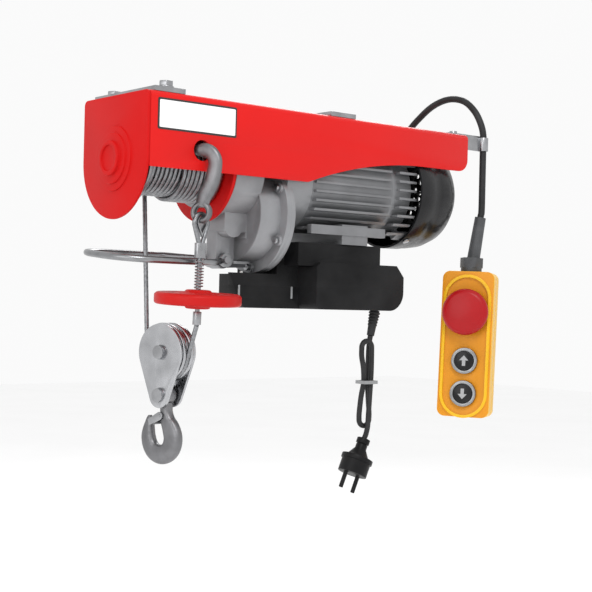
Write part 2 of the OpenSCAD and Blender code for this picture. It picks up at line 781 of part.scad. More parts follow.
fan_lip_x = 373;
fan_end_x = 447;
module fan_cover() place() color("#26272a") difference() {
    translate([0, 0, motor_z]) lay_x() rotate_extrude() {
        polygon([[fan_cover_r - 2.5, fan_lip_x], [fan_cover_r, fan_lip_x], [fan_cover_r, 395],
            [fan_cover_r - 1.2, 397], [fan_cover_r - 1.2, 407], [fan_cover_r - 3, 421],
            [fan_cover_r - 8, 434], [fan_cover_r - 15, 442], [fan_cover_r - 24, 446],
            [0, fan_end_x], [0, fan_end_x - 3], [fan_cover_r - 25, 443.5], [fan_cover_r - 17, 440],
            [fan_cover_r - 10.5, 432], [fan_cover_r - 5.5, 420], [fan_cover_r - 3.5, 407]]);
    }
    for (r = [14, 23, 32], a = [0:30:330]) translate([0, 0, motor_z]) rotate([a, 0, 0])
        rod_x(fan_end_x - 8, fan_end_x + 2, 2.6, r, 0);
    for (a = [30, 150, 270]) translate([0, 0, motor_z]) rotate([a, 0, 0])
        rod_z(fan_cover_r - 6, fan_cover_r + 2, 2.2, fan_lip_x + 6, 0);
}

// Arms of the end shield that the fan cover is screwed to.
module fan_cover_lugs() {
    for (a = [30, 150, 270]) translate([0, 0, motor_z]) rotate([a, 0, 0]) {
        span([361, -5, shell_r - 5], [365, 5, fan_cover_r - 3.3]);
        span([361, -5, shell_r + 2], [fan_lip_x + 11, 5, fan_cover_r - 3.3]);
    }
}

module housing_screws() place() color("#c9ccd0") {
    flange_screw_points() {
        rod_x(flange_x - 7, flange_x - 3, 3.7);
        rod_x(flange_x - 3, cover_x + cover_t - 1, 2.5);
    }
    for (a = [30, 150, 270]) translate([0, 0, motor_z]) rotate([a, 0, 0]) {
        rod_z(fan_cover_r, fan_cover_r + 1.8, 4, fan_lip_x + 6, 0);
        rod_z(fan_cover_r - 2.5, fan_cover_r, 2.1, fan_lip_x + 6, 0);
    }
}

// ---- electrics box ----

cut_x = box_x0 + 38;

// Outline of the near bulge in (X, Z).
module bulge_outline() {
    difference() {
        translate([bulge_x0, box_floor]) square([box_x1 - bulge_x0, bulge_top - box_floor]);
        polygon([[box_x1 - 12, bulge_top + 1], [box_x1 + 1, bulge_top + 1], [box_x1 + 1, -174]]);
        polygon([[bulge_x0 - 1, bulge_top + 1], [bulge_x0 - 1, -166], [bulge_x0 + 6, bulge_top + 1]]);
        difference() {
            translate([box_x1 - 21, box_floor - 1]) square([22, 22]);
            translate([box_x1 - 21, box_floor + 21]) circle(21);
        }
        difference() {
            translate([bulge_x0 - 1, box_floor - 1]) square([7, 7]);
            translate([bulge_x0 + 6, box_floor + 6]) circle(6);
        }
    }
}

// Outline of the long body in (X, Z).
module body_outline() {
    polygon([[box_x0, box_top], [192, box_top], [192, riser_top], [206, riser_top],
        [206, saddle_top], [riser_x1, saddle_top], [riser_x1, -150], [riser_x1 + 2, -155],
        [riser_x1 + 7, riser_top], [340, riser_top], [box_x1, -173], [box_x1, box_floor + 10],
        [box_x1 - 10, box_floor],
        [box_x0 + 20, box_floor], [box_x0 + 13, box_floor + 5]]);
}

module box_solid() {
    difference() {
        plate_xz(box_near, box_far - box_near) body_outline();
        // far front corner, cut back beside the lever
        translate([0, 0, box_floor - 1]) linear_extrude(box_top - box_floor + 2)
            polygon([[box_x0 - 1, box_near + 2], [cut_x, 22], [cut_x, box_far + 1],
                [box_x0 - 1, box_far + 1]]);
    }
    plate_xz(bulge_near, box_near - bulge_near + 1) bulge_outline();
    span([riser_x0, riser_near, -164], [riser_x1, box_near + 1, saddle_top]);
}

module box_space() {
    span([cut_x + 6, box_near + box_wall, box_floor + box_wall],
        [box_x1 - box_wall - 7, box_far - box_wall, box_top - box_wall]);
    span([box_x0 + 17, box_near + box_wall, box_floor + box_wall],
        [cut_x + 7, -9, box_top - box_wall]);
    span([210, box_near + box_wall, box_top - 5],
        [riser_x1 - 4, box_far - box_wall, saddle_top - box_wall - 4]);
    span([bulge_x0 + 14, bulge_near + box_wall, box_floor + box_wall + 4],
        [box_x1 - 26, box_near + 4, bulge_top - box_wall]);
}

module box_screw_points() {
    for (p = [[box_screw_x, box_near + 6], [box_screw_x, box_far - 6], [box_x1 - 14, box_far - 6],
        [bulge_x0 + 10, bulge_near + 9]]) translate([p[0], p[1], 0]) children();
}

module control_box() place() color("#1f2023") difference() {
    box_solid();
    difference() {
        box_space();
        box_screw_points() rod_z(box_seam - 1, box_top, 5);
    }
    span([100, -100, box_floor - 5], [400, 100, box_seam]);
    rod_z(box_top - 10, box_top + 1, 2, switch_x, switch_y);
    rod_y(box_far - 5, box_far + 1, 6, 300, -170);
    box_screw_points() rod_z(box_seam - 1, box_seam + 9, 1.8);
}

rib_x = [141, 213];
module control_box_cover() place() color("#26272a") difference() {
    union() {
        box_solid();
        for (x = rib_x) span([x - 1, box_near - 1, -200], [x + 1, box_near + 1, box_seam + 1]);
    }
    difference() {
        box_space();
        box_screw_points() rod_z(box_floor, box_seam + 1, 5);
    }
    span([100, -100, box_seam - bed], [400, 100, -130]);
    rod_z(box_floor - 1, box_floor + 9, 6, power_exit[0], power_exit[1]);
    box_screw_points() {
        rod_z(box_floor - 1, box_seam + 1, 1.8);
        rod_z(box_floor - 1, box_floor + 3, 3.6);
    }
}

module limit_switch() place() color("#d9dadb") {
    span([switch_x - 1.5, -21, -204], [switch_x + 24, -10, -181]);
    span([switch_x - 1.5, switch_y - 3, -182], [switch_x + 6, switch_y + 3, -179]);
    rod_z(-180, box_top + 2, 1.6, switch_x, switch_y);
}

module capacitor() place() color("#dcdcd8") {
    rod_x(252, 317.5, 16, -33, box_floor + 23.3);
    for (y = [-39, -27]) rod_x(317.5, 321.5, 2, y, box_floor + 23.3);
}

power_exit = [325, -40];
// Tapered strain relief with ribs, along Z from its seat.
module relief(length, r0, r1, bore) {
    difference() {
        union() {
            cylinder(h = length, r1 = r0, r2 = r1);
            for (i = [0:4]) translate([0, 0, 2 + i * 3.4]) cylinder(h = 1.7, r = r0 + 0.9 - i * 0.3);
        }
        translate([0, 0, -1]) cylinder(h = length + 2, r = bore);
    }
}

relief_lean = -12;
module cord_glands() place() color("#2a2b2e") {
    translate([power_exit[0], power_exit[1], box_floor - 0.1]) rotate([180, 0, 0])
        rotate([0, relief_lean, 0]) relief(29, 5.6, 4.2, mains_d / 2);
    translate([300, box_far, -170]) rotate([-90, 0, 0]) relief(28, 7, 5.4, pendant_cord_d / 2);
}

// ---- cords ----

module power_cord() place() color("#1c1d1f") {
    tube(spline(mains_route, 3), mains_d / 2);
    tube(spline(mains_loop, 3), mains_d / 2);
    tube(spline(mains_lead, 2), mains_d / 2);
}

hank_w = 17;
hank_t = 13;
module power_cord_hank() place() color("#1c1d1f")
    translate([0, mains_tie[1] + hank_t / 2, 0]) rotate([90, 0, 0]) {
        linear_extrude(hank_t) polygon([[mains_tie[0] - hank_w / 2 + 1, hank_top],
            [mains_tie[0] + hank_w / 2 - 1, hank_top], [mains_tie[0] + hank_w / 2 + 1, hank_end + 14],
            [mains_tie[0] - hank_w / 2 - 3, hank_end + 14]]);
        translate([mains_tie[0] - 1, hank_end + 12, 0]) cylinder(h = hank_t, r = 12);
    }

module cord_ties() place() color("#8a8c8f") {
    difference() {
        span([mains_tie[0] - 11.6, mains_tie[1] - 8, -293.8], [mains_tie[0] + 7.8, mains_tie[1] + 8, -290]);
        span([mains_tie[0] - 10.4, mains_tie[1] - 6.8, -294],
            [mains_tie[0] + 6.4, mains_tie[1] + 6.8, -289]);
    }
    difference() {
        span([coil_c[0] - 2.4, inner_w - 1.6, tie_slots[1] - 0.8],
            [coil_c[0] + 2.4, coil_c[1] + coil_half + 1.8, tie_slots[0] + 0.8]);
        span([coil_c[0] - 3, inner_w - 0.3, tie_slots[1] + 0.5],
            [coil_c[0] + 3, coil_c[1] + coil_half + 0.3, tie_slots[0] - 0.5]);
    }
}

tie_slots = [coil_c[2] + coil_r + coil_half + 1.2, coil_c[2] + coil_r - coil_half - 1.2];
bracket_bolts = [-46, -26];

plug_lean = -24;
plug_pin_y = 9.5;
plug_pin_r = 2.4;
module mains_plug() place() color("#2b2c2f") translate(mains_lead[1]) rotate([180, 0, 0])
    rotate([0, plug_lean, 0]) {
        rotate_extrude() polygon([[0, 0], [7.5, 0], [7.5, 6], [5.6, 6], [5.6, 7], [6.5, 7],
            [6.5, 12], [13, 22], [18, 22], [18, 27], [16.5, 27], [16.5, 42], [0, 42]]);
        for (s = [-1, 1]) rod_z(41, 61, plug_pin_r, s * plug_pin_y, 0);
    }

module pendant_bracket() place() color("#8d9196") {
    difference() {
        span([frame_l - 22, -52, 0], [hang_x - 3, -20, 2]);
        for (y = bracket_bolts) rod_z(-1, 3, 2.6, frame_l - 10, y);
        span([frame_l + 1, -46, -1], [hang_x, -19, 3]);
    }
    span([frame_l + 2, -52, -16], [hang_x - 3, -50, 2]);
    difference() {
        rod_z(-16, 0, pendant_cord_d / 2 + 2, hang_x, hang_y);
        rod_z(-17, 1, pendant_cord_d / 2 + gap, hang_x, hang_y);
    }
    for (y = bracket_bolts) {
        rod_z(2, 4.5, 4.5, frame_l - 10, y);
        rod_z(-6, 2, 2.5, frame_l - 10, y);
    }
}

module pendant_cord() place() color("#2f3033") {
    tube(spline(pendant_route, 3), pendant_cord_d / 2);
    tube(spline(gland_route, 2), pendant_cord_d / 2);
}

module pendant_cord_coil() place() color("#2f3033") translate(coil_c) rotate([90, 0, 0])
    rotate_extrude() translate([coil_r - coil_half, -coil_half]) square(2 * coil_half);

// ---- pendant ----

module pendant_frame() {
    translate(pendant_at) rotate([0, pendant_lean, 0]) rotate([0, 0, pendant_turn]) children();
}

// Works along the sleeve over the cord, which leans from the pendant towards the hanging cord.
module along_sleeve() {
    translate(pendant_at) rotate([0, acos(sleeve_run[2] / norm(sleeve_run)),
        atan2(sleeve_run[1], sleeve_run[0])]) children();
}

// Pendant outline in (X, Z), hanging down from its top.
module pendant_outline(inset, r) {
    w = pendant_w / 2 - inset;
    for (sx = [-1, 1], z = [-r - inset, r + inset - pendant_h]) translate([sx * (w - r), z]) circle(r);
    translate([-w + r, inset - pendant_h]) square([2 * (w - r), pendant_h - 2 * inset]);
    translate([-w, r + inset - pendant_h]) square([2 * w, pendant_h - 2 * r - 2 * inset]);
}

// The front is at -Y of the pendant's own frame.
front_y = -pendant_d / 2;

// Round-ended block around the buttons, from y0 along Y.
module rim_block(y0, length, inset) {
    r = rim_w / 2 - inset;
    high = -4 - rim_w / 2;
    low = rim_w / 2 - pendant_h - 1;
    rod_y(y0, y0 + length, r, 0, high);
    rod_y(y0, y0 + length, r, 0, low);
    span([-r, y0, low], [r, y0 + length, high]);
}

module pendant_front() place() color("#f2b21c") pendant_frame() difference() {
    union() {
        plate_xz(front_y + rim_h, front_share - rim_h) pendant_outline(0, 9);
        rim_block(front_y, rim_h + 0.5, 0);
    }
    plate_xz(front_y + shell_t + rim_h, front_share) pendant_outline(shell_t, 6.5);
    rim_block(front_y - 1, rim_h + 1, rim_t);
    rod_y(front_y - 1, front_y + 10, stop_d / 4 + 1, 0, stop_z);
    for (z = [up_z, down_z]) rod_y(front_y - 1, front_y + 10, button_d / 2 + collar_t + fit, 0, z);
}

module pendant_back() place() color("#e9a816") pendant_frame() {
    depth = pendant_d - front_share;
    difference() {
        plate_xz(front_y + front_share + bed, depth - bed) pendant_outline(0, 9);
        plate_xz(front_y + front_share - 1, depth - shell_t + 1) pendant_outline(shell_t, 6.5);
        rod_z(-shell_t - 1, 1, 6, 0, 0);
    }
}

boot_l = norm(sleeve_run);
module pendant_boot() place() color("#232427") difference() {
    union() {
        pendant_frame() {
            rod_z(0.1, 6, 12.5);
            translate([0, 0, 5]) cylinder(h = 12, d = 24 / cos(30), $fn = 6);
        }
        along_sleeve() translate([0, 0, 12]) cylinder(h = boot_l - 12, r1 = 7.8, r2 = 6.6);
    }
    along_sleeve() rod_z(-2, boot_l + 1, pendant_cord_d / 2 + fit);
}

module pendant_contacts() place() color("#4a4c50") pendant_frame() {
    span([-15, front_y + 16, down_z - 14], [15, pendant_d / 2 - shell_t - bed, stop_z + 18]);
}

travel = 3.5;
stop_travel = 5;
collar_t = 4;
module button_collars() place() color("#b7babd") pendant_frame() for (z = [up_z, down_z])
    difference() {
        rod_y(front_y - 2.5, front_y + 8, button_d / 2 + collar_t, 0, z);
        rod_y(front_y - 3, front_y + 9, button_d / 2 + 0.25, 0, z);
    }

module push_button(z) {
    rod_y(front_y - 3.5, front_y + 6, button_d / 2, 0, z);
    rod_y(front_y + 6, front_y + 16 - travel - gap, 4, 0, z);
}

module up_button() place() color("#2a2b2e") pendant_frame() push_button(up_z);

module down_button() place() color("#2a2b2e") pendant_frame() push_button(down_z);

module e_stop_button() place() color("#c3202c") pendant_frame() translate([0, 0, stop_z])
    rotate([90, 0, 0]) {
        neck = stop_d / 4;
        face = -front_y;
        rotate_extrude() polygon([[0, face - 16 + stop_travel + gap], [4, face - 16 + stop_travel + gap],
            [4, face - 6], [neck, face - 6], [neck, face + 5.5], [stop_d / 2, face + 6],
            [stop_d / 2, face + 12], [stop_d / 2 - 4, face + 16], [0, face + 18]]);
    }

module small_screws() place() color("#9a9da1") {
    box_screw_points() {
        rod_z(box_floor + 0.4, box_floor + 2.9, 3.2);
        rod_z(box_floor + 2.9, box_seam + 8, 1.6);
    }
    pendant_frame() for (sx = [-1, 1], z = [-14, 14 - pendant_h])
        rod_y(pendant_d / 2, pendant_d / 2 + 1.6, 3, sx * (pendant_w / 2 - 12), z);
}

// ---- hook block ----

// The block's own frame: X along the pins, Y across the falls, Z up.
module block_frame() { translate(block_c) rotate([0, 0, block_turn]) children(); }

// Round-ended outline with straight sides touching both circles, in (Y, Z).
module teardrop(r_top, r_foot, drop) {
    a = asin((r_top - r_foot) / drop);
    circle(r_top);
    translate([0, -drop]) circle(r_foot);
    polygon([[-r_top * cos(a), -r_top * sin(a)], [r_top * cos(a), -r_top * sin(a)],
        [r_foot * cos(a), -drop - r_foot * sin(a)], [-r_foot * cos(a), -drop - r_foot * sin(a)]]);
}

module block_plates() place() color("#9a9da1") block_frame() for (s = [-1, 1]) difference() {
    plate_yz(s > 0 ? plate_in : -plate_in - plate_t, plate_t) teardrop(plate_r, foot_r, pin_gap);
    for (z = [0, -pin_gap]) rod_x(-block_w, block_w, block_pin_d / 2 + bed, 0, z);
}

module block_pins() place() color("#85888c") block_frame() for (z = [0, -pin_gap]) {
    difference() {
        union() {
            rod_x(-block_w / 2, block_w / 2 + 7, block_pin_d / 2, 0, z);
            rod_x(-block_w / 2 - pin_head_t, -block_w / 2, pin_head_r, 0, z);
        }
        rod_z(z - 8, z + 8, 1.3, block_w / 2 + 4, 0);
    }
    rod_z(z - 12, z + 8, 1.2, block_w / 2 + 4, 0);
    rod_y(-2.5, 2.5, 1.6, block_w / 2 + 4, z + 8);
}

groove_gap = 0.5;
module sheave() place() color("#c0c3c7") block_frame() lay_x() rotate_extrude() difference() {
    translate([block_pin_d / 2 + running, -sheave_w / 2])
        square([sheave_rim - block_pin_d / 2 - running, sheave_w]);
    translate([sheave_r, 0]) circle(rope_r + groove_gap);
    polygon([[sheave_r, -rope_r - groove_gap], [sheave_rim + 1, -rope_r - 1.8],
        [sheave_rim + 1, rope_r + 1.8], [sheave_r, rope_r + groove_gap]]);
    for (s = [-1, 1]) translate([12, s > 0 ? sheave_w / 2 - 2 : -sheave_w / 2 - 1])
        square([sheave_r - rope_r - 15, 3]);
}

// ---- rope between drum, block and anchor ----

function block_point(u, v) = block_c + [-sin(block_turn) * -u, cos(block_turn) * -u, v];
drum_fall_top = [fall_x, second_layer_r + 0.2, drum_z - 0.8];
far_contact = 186.7;
near_contact = -22;
far_touch = block_point(sheave_r * cos(far_contact), sheave_r * sin(far_contact));
near_touch = block_point(sheave_r * cos(near_contact), sheave_r * sin(near_contact));

module rope_fall_drum() place() color("#9a9da1") bar(drum_fall_top, far_touch, rope_r - bed);

module rope_fall_anchor() place() color("#9a9da1") bar(stack_end, near_touch, rope_r - bed);

module rope_bight() place() color("#9a9da1") block_frame() rotate([90, 0, -90])
    rotate([0, 0, far_contact - 359.5]) rotate_extrude(angle = near_contact - far_contact + 359)
        translate([sheave_r, 0]) circle(rope_r - bed);

// ---- load hook ----

// The load hook hangs from the lower pin; its outline is drawn as (u, v) with u to the tip side.
module hook_frame() { block_frame() translate([0, 0, -pin_gap]) children(); }

hook_eye_r = min(foot_r - 1, pin_gap - sheave_rim - 0.6);
module load_hook() place() color("#a2a5a9") hook_frame() translate([-hook_t / 2, 0, 0])
    rotate([90, 0, 90]) mirror([1, 0, 0]) difference() {
        union() {
            cylinder(h = hook_t, r = hook_eye_r);
            translate([-2.5, -43.5, 0]) cylinder(h = hook_t, r = 29);
            linear_extrude(hook_t)
                polygon([[-5.5, -5], [8.5, -5], [12, -18], [21, -28], [25.5, -38], [0, -44], [-5.5, -26]]);
            linear_extrude(hook_t)
                polygon([[-31, -38], [-29, -27], [-24.7, -21.4], [-19, -21], [-14, -38]]);
        }
        translate([0, 0, -1]) {
            cylinder(h = hook_t + 2, r = block_pin_d / 2 + running);
            translate([-7.3, -34.7, 0]) cylinder(h = hook_t + 2, r = 7.4);
            translate([-7.3, -43.7, 0]) cylinder(h = hook_t + 2, r = 7.4);
            translate([-14.6, -43.7, 0]) cube([14.6, 9, hook_t + 2]);
            linear_extrude(hook_t + 2) polygon([[-14.4, -37], [-18.5, -21], [-22, -12], [-11, -12],
                [-5.5, -15], [-5.5, -26], [-0.4, -37]]);
        }
    }

latch_pivot = [-1.5, -21];
module safety_latch() place() color("#8d9196") hook_frame() rotate([90, 0, 90]) mirror([1, 0]) {
    for (z = [-hook_t / 2 - 1.8, hook_t / 2 + 0.3]) translate([0, 0, z]) linear_extrude(1.5) {
        translate(latch_pivot) circle(4);
        polygon([[-4, -17.8], [1, -24], [-13.5, -31], [-17, -25.5]]);
    }
    translate([0, 0, -hook_t / 2 - 1.8]) linear_extrude(hook_t + 3.6)
        polygon([[-15.5, -31], [-13.5, -31], [-14.5, -25.5], [-17, -25.5]]);
    for (s = [-1, 1]) translate([latch_pivot[0], latch_pivot[1], s * (hook_t / 2 + 0.3 + 1.1) - 1.1])
        cylinder(h = 2.2, r = 1.8);
}

// ---- limit lever ----

// Half of the lever's rod, from the pivot eye round to the middle of the front bar.
lever_half = concat([[lever_x - 3, lug_half + 4], [lever_x - 12, lug_half + 7], [98, ring_half - 6],
    [92, ring_half - 1], [86, ring_half]],
    [for (a = [0:15:90]) [ring_front + ring_corner - ring_corner * sin(a),
        ring_half - ring_corner + ring_corner * cos(a)]]);
function tilted(x, y) = [x, y, lever_z + ring_tilt * y / ring_half];
lever_rod = concat([for (p = lever_half) tilted(p[0], -p[1])],
    [for (i = [len(lever_half) - 1:-1:0]) tilted(lever_half[i][0], lever_half[i][1])]);

module limit_lever() place() color("#a9acb0") difference() {
    union() {
        tube(lever_rod, lever_rod_d / 2, 12, [0, 0, 1]);
        for (s = [-1, 1]) translate([0, s * (lug_half + 0.4 + eye_w / 2), 0])
            rod_y(-eye_w / 2, eye_w / 2, 7.5, lever_x, lever_z);
        span([lever_x + 3, -lug_half - 7, lever_z - 7], [tail_x, lug_half + 7, lever_z - 3.5]);
    }
    rod_y(-30, 30, lever_pin_d / 2 + running, lever_x, lever_z);
    span([lever_x - 12, -lug_half - 0.4, lever_z - 12], [tail_x - 7, lug_half + 0.4, lever_z + 12]);
}

module lever_pivot_pin() place() color("#c3c6ca")
    rod_y(-lug_half - eye_w - 2, lug_half + eye_w + 2, lever_pin_d / 2, lever_x, lever_z);

frame_channel();
front_plate();
bulkhead();
bearings();
clamp_straps();
clamp_bolts();
clamp_washers();
clamp_nuts();
anchor_hook();
rope_fittings();
rope_end();
gearbox_housing();
gearbox_cover();
layshaft_bushes();
motor_housing();
stator_core();
rear_end_shield();
fan_cover();
housing_screws();
control_box();
control_box_cover();
small_screws();
capacitor();
limit_switch();
cord_glands();
power_cord();
power_cord_hank();
cord_ties();
mains_plug();
pendant_bracket();
pendant_cord();
pendant_cord_coil();
pendant_front();
pendant_back();
pendant_boot();
pendant_contacts();
button_collars();
lever_pivot_pin();
drum_barrel();
rope_winding();
drum_shaft();
drum_gear();
lay_shaft();
lay_gear();
rotor();
cooling_fan();
block_plates();
block_pins();
sheave();
load_hook();
safety_latch();
rope_fall_drum();
rope_fall_anchor();
rope_bight();
rope_stop_disc();
stop_spring();
limit_lever();
e_stop_button();
up_button();
down_button();
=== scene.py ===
import math

import bmesh
import bpy
from mathutils import Matrix, Vector


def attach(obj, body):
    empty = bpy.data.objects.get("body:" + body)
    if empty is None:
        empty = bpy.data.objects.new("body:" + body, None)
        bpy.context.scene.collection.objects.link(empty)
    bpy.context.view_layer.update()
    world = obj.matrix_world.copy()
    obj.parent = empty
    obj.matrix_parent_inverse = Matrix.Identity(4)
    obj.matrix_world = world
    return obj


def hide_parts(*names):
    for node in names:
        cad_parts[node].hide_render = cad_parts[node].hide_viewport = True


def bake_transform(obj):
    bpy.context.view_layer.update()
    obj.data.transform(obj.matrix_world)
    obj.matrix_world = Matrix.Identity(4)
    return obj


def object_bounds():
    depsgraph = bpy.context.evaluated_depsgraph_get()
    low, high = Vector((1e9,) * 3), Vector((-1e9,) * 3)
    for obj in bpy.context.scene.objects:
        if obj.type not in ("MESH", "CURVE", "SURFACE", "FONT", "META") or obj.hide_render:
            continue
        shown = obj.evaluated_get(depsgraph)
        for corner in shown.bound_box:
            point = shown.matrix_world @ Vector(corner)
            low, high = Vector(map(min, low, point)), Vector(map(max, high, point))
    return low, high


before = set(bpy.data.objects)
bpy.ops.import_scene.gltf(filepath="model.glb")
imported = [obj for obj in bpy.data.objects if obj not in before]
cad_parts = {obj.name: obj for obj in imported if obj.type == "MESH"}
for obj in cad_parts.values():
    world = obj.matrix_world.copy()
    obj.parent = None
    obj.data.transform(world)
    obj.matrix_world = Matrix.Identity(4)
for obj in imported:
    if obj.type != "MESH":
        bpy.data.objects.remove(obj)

cad_lo, cad_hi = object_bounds()
MM = 0.001
CLAMP_MIDDLE = 142.0    # the frame's origin lies between the beam clamps, this far behind the front plate
TURN = 2 * math.pi
UP = Vector((0, 0, 1))


def at(x, y, z):
    """A point given in millimetres from the front plate, in the frame's metres."""
    return Vector(((x - CLAMP_MIDDLE) * MM, y * MM, z * MM))


def level(degrees):
    """The level direction at this angle from +X."""
    a = math.radians(degrees)
    return Vector((math.cos(a), math.sin(a), 0))


def link(name, data):
    """A new object in the scene that holds data."""
    obj = bpy.data.objects.new(name, data)
    bpy.context.scene.collection.objects.link(obj)
    return obj


# ---- camera ----
CAM_AZIMUTH, CAM_ELEVATION, CAM_ROLL = math.radians(-39.49), math.radians(-0.43), math.radians(1.358)
CAM_PLACE = at(-695.0, -1136.1, -207.75)
CAM_LENS, CAM_SENSOR = 79.84, 36.0


def make_camera():
    """The camera at the photograph's place and angle."""
    right = Vector((math.cos(CAM_AZIMUTH), math.sin(CAM_AZIMUTH), 0))
    back = Vector((math.sin(CAM_AZIMUTH) * math.cos(CAM_ELEVATION),
                   -math.cos(CAM_AZIMUTH) * math.cos(CAM_ELEVATION), math.sin(CAM_ELEVATION)))
    over = back.cross(right)
    cam_right = right * math.cos(CAM_ROLL) + over * math.sin(CAM_ROLL)
    cam_up = over * math.cos(CAM_ROLL) - right * math.sin(CAM_ROLL)
    data = bpy.data.cameras.new("camera")
    data.sensor_width = CAM_SENSOR
    data.lens = CAM_LENS
    cam = link("camera", data)
    cam.matrix_world = Matrix((
        (cam_right.x, cam_up.x, back.x, CAM_PLACE.x),
        (cam_right.y, cam_up.y, back.y, CAM_PLACE.y),
        (cam_right.z, cam_up.z, back.z, CAM_PLACE.z),
        (0, 0, 0, 1)))
    bpy.context.scene.camera = cam


make_camera()
bpy.context.scene.view_settings.view_transform = "Standard"

# ---- materials ----
BROAD_DETAIL, FINE_DETAIL = 5.0, 4.0    # octaves of the two noises
RAMP_LOW, RAMP_HIGH = 0.3, 0.7          # noise values where the darkest and the lightest colour are reached
COAT_ROUGHNESS = 0.12
METAL_SPECULAR = 0.5


def finish(name, color, rough, metal, grain, bump, spread, rough_spread, blotch, coat=0.0,
           dist=0.0002, spec=0.3):
    """Procedural finish: broad blotches vary the colour, fine grain varies roughness and bump.

    blotch and grain are the scales of the two noises, spread and rough_spread say how far colour and
    roughness vary, and dist is the depth of the bump in metres."""
    mat = bpy.data.materials.new(name)
    mat.use_nodes = True
    nodes, links = mat.node_tree.nodes, mat.node_tree.links
    shader = nodes["Principled BSDF"]
    coords = nodes.new("ShaderNodeTexCoord")

    def noise(scale, detail):
        node = nodes.new("ShaderNodeTexNoise")
        node.inputs["Scale"].default_value = scale
        node.inputs["Detail"].default_value = detail
        links.new(coords.outputs["Object"], node.inputs["Vector"])
        return node.outputs["Fac"]

    broad = noise(blotch, BROAD_DETAIL)
    fine = noise(grain, FINE_DETAIL)
    ramp = nodes.new("ShaderNodeValToRGB")
    low, high = ramp.color_ramp.elements
    low.position = RAMP_LOW
    high.position = RAMP_HIGH
    lift = spread * 0.02    # so that a black finish varies too
    low.color = [max(0.0, c * (1 - spread)) for c in color] + [1]
    high.color = [min(1.0, c * (1 + spread) + lift) for c in color] + [1]
    links.new(broad, ramp.inputs["Fac"])
    links.new(ramp.outputs["Color"], shader.inputs["Base Color"])

    mixed = nodes.new("ShaderNodeMix")
    mixed.inputs["Factor"].default_value = 0.5
    links.new(broad, mixed.inputs["A"])
    links.new(fine, mixed.inputs["B"])
    roughness = nodes.new("ShaderNodeMapRange")
    roughness.inputs["To Min"].default_value = max(0.02, rough - rough_spread)
    roughness.inputs["To Max"].default_value = min(1.0, rough + rough_spread)
    links.new(mixed.outputs["Result"], roughness.inputs["Value"])
    links.new(roughness.outputs["Result"], shader.inputs["Roughness"])

    shader.inputs["Metallic"].default_value = metal
    shader.inputs["Specular IOR Level"].default_value = spec if metal < 0.3 else METAL_SPECULAR
    shader.inputs["Coat Weight"].default_value = coat
    shader.inputs["Coat Roughness"].default_value = COAT_ROUGHNESS
    relief = nodes.new("ShaderNodeBump")
    relief.inputs["Strength"].default_value = bump
    relief.inputs["Distance"].default_value = dist
    links.new(fine, relief.inputs["Height"])
    links.new(relief.outputs["Normal"], shader.inputs["Normal"])
    return mat


def cast(name, color, rough):
    """Sand-cast aluminium."""
    return finish(name, color, rough, 0.5, 520, 0.35, 0.12, 0.1, 30, dist=0.0004)


def plated(name, color, rough):
    """Zinc-plated steel."""
    return finish(name, color, rough, 1.0, 600, 0.05, 0.16, 0.12, 70)


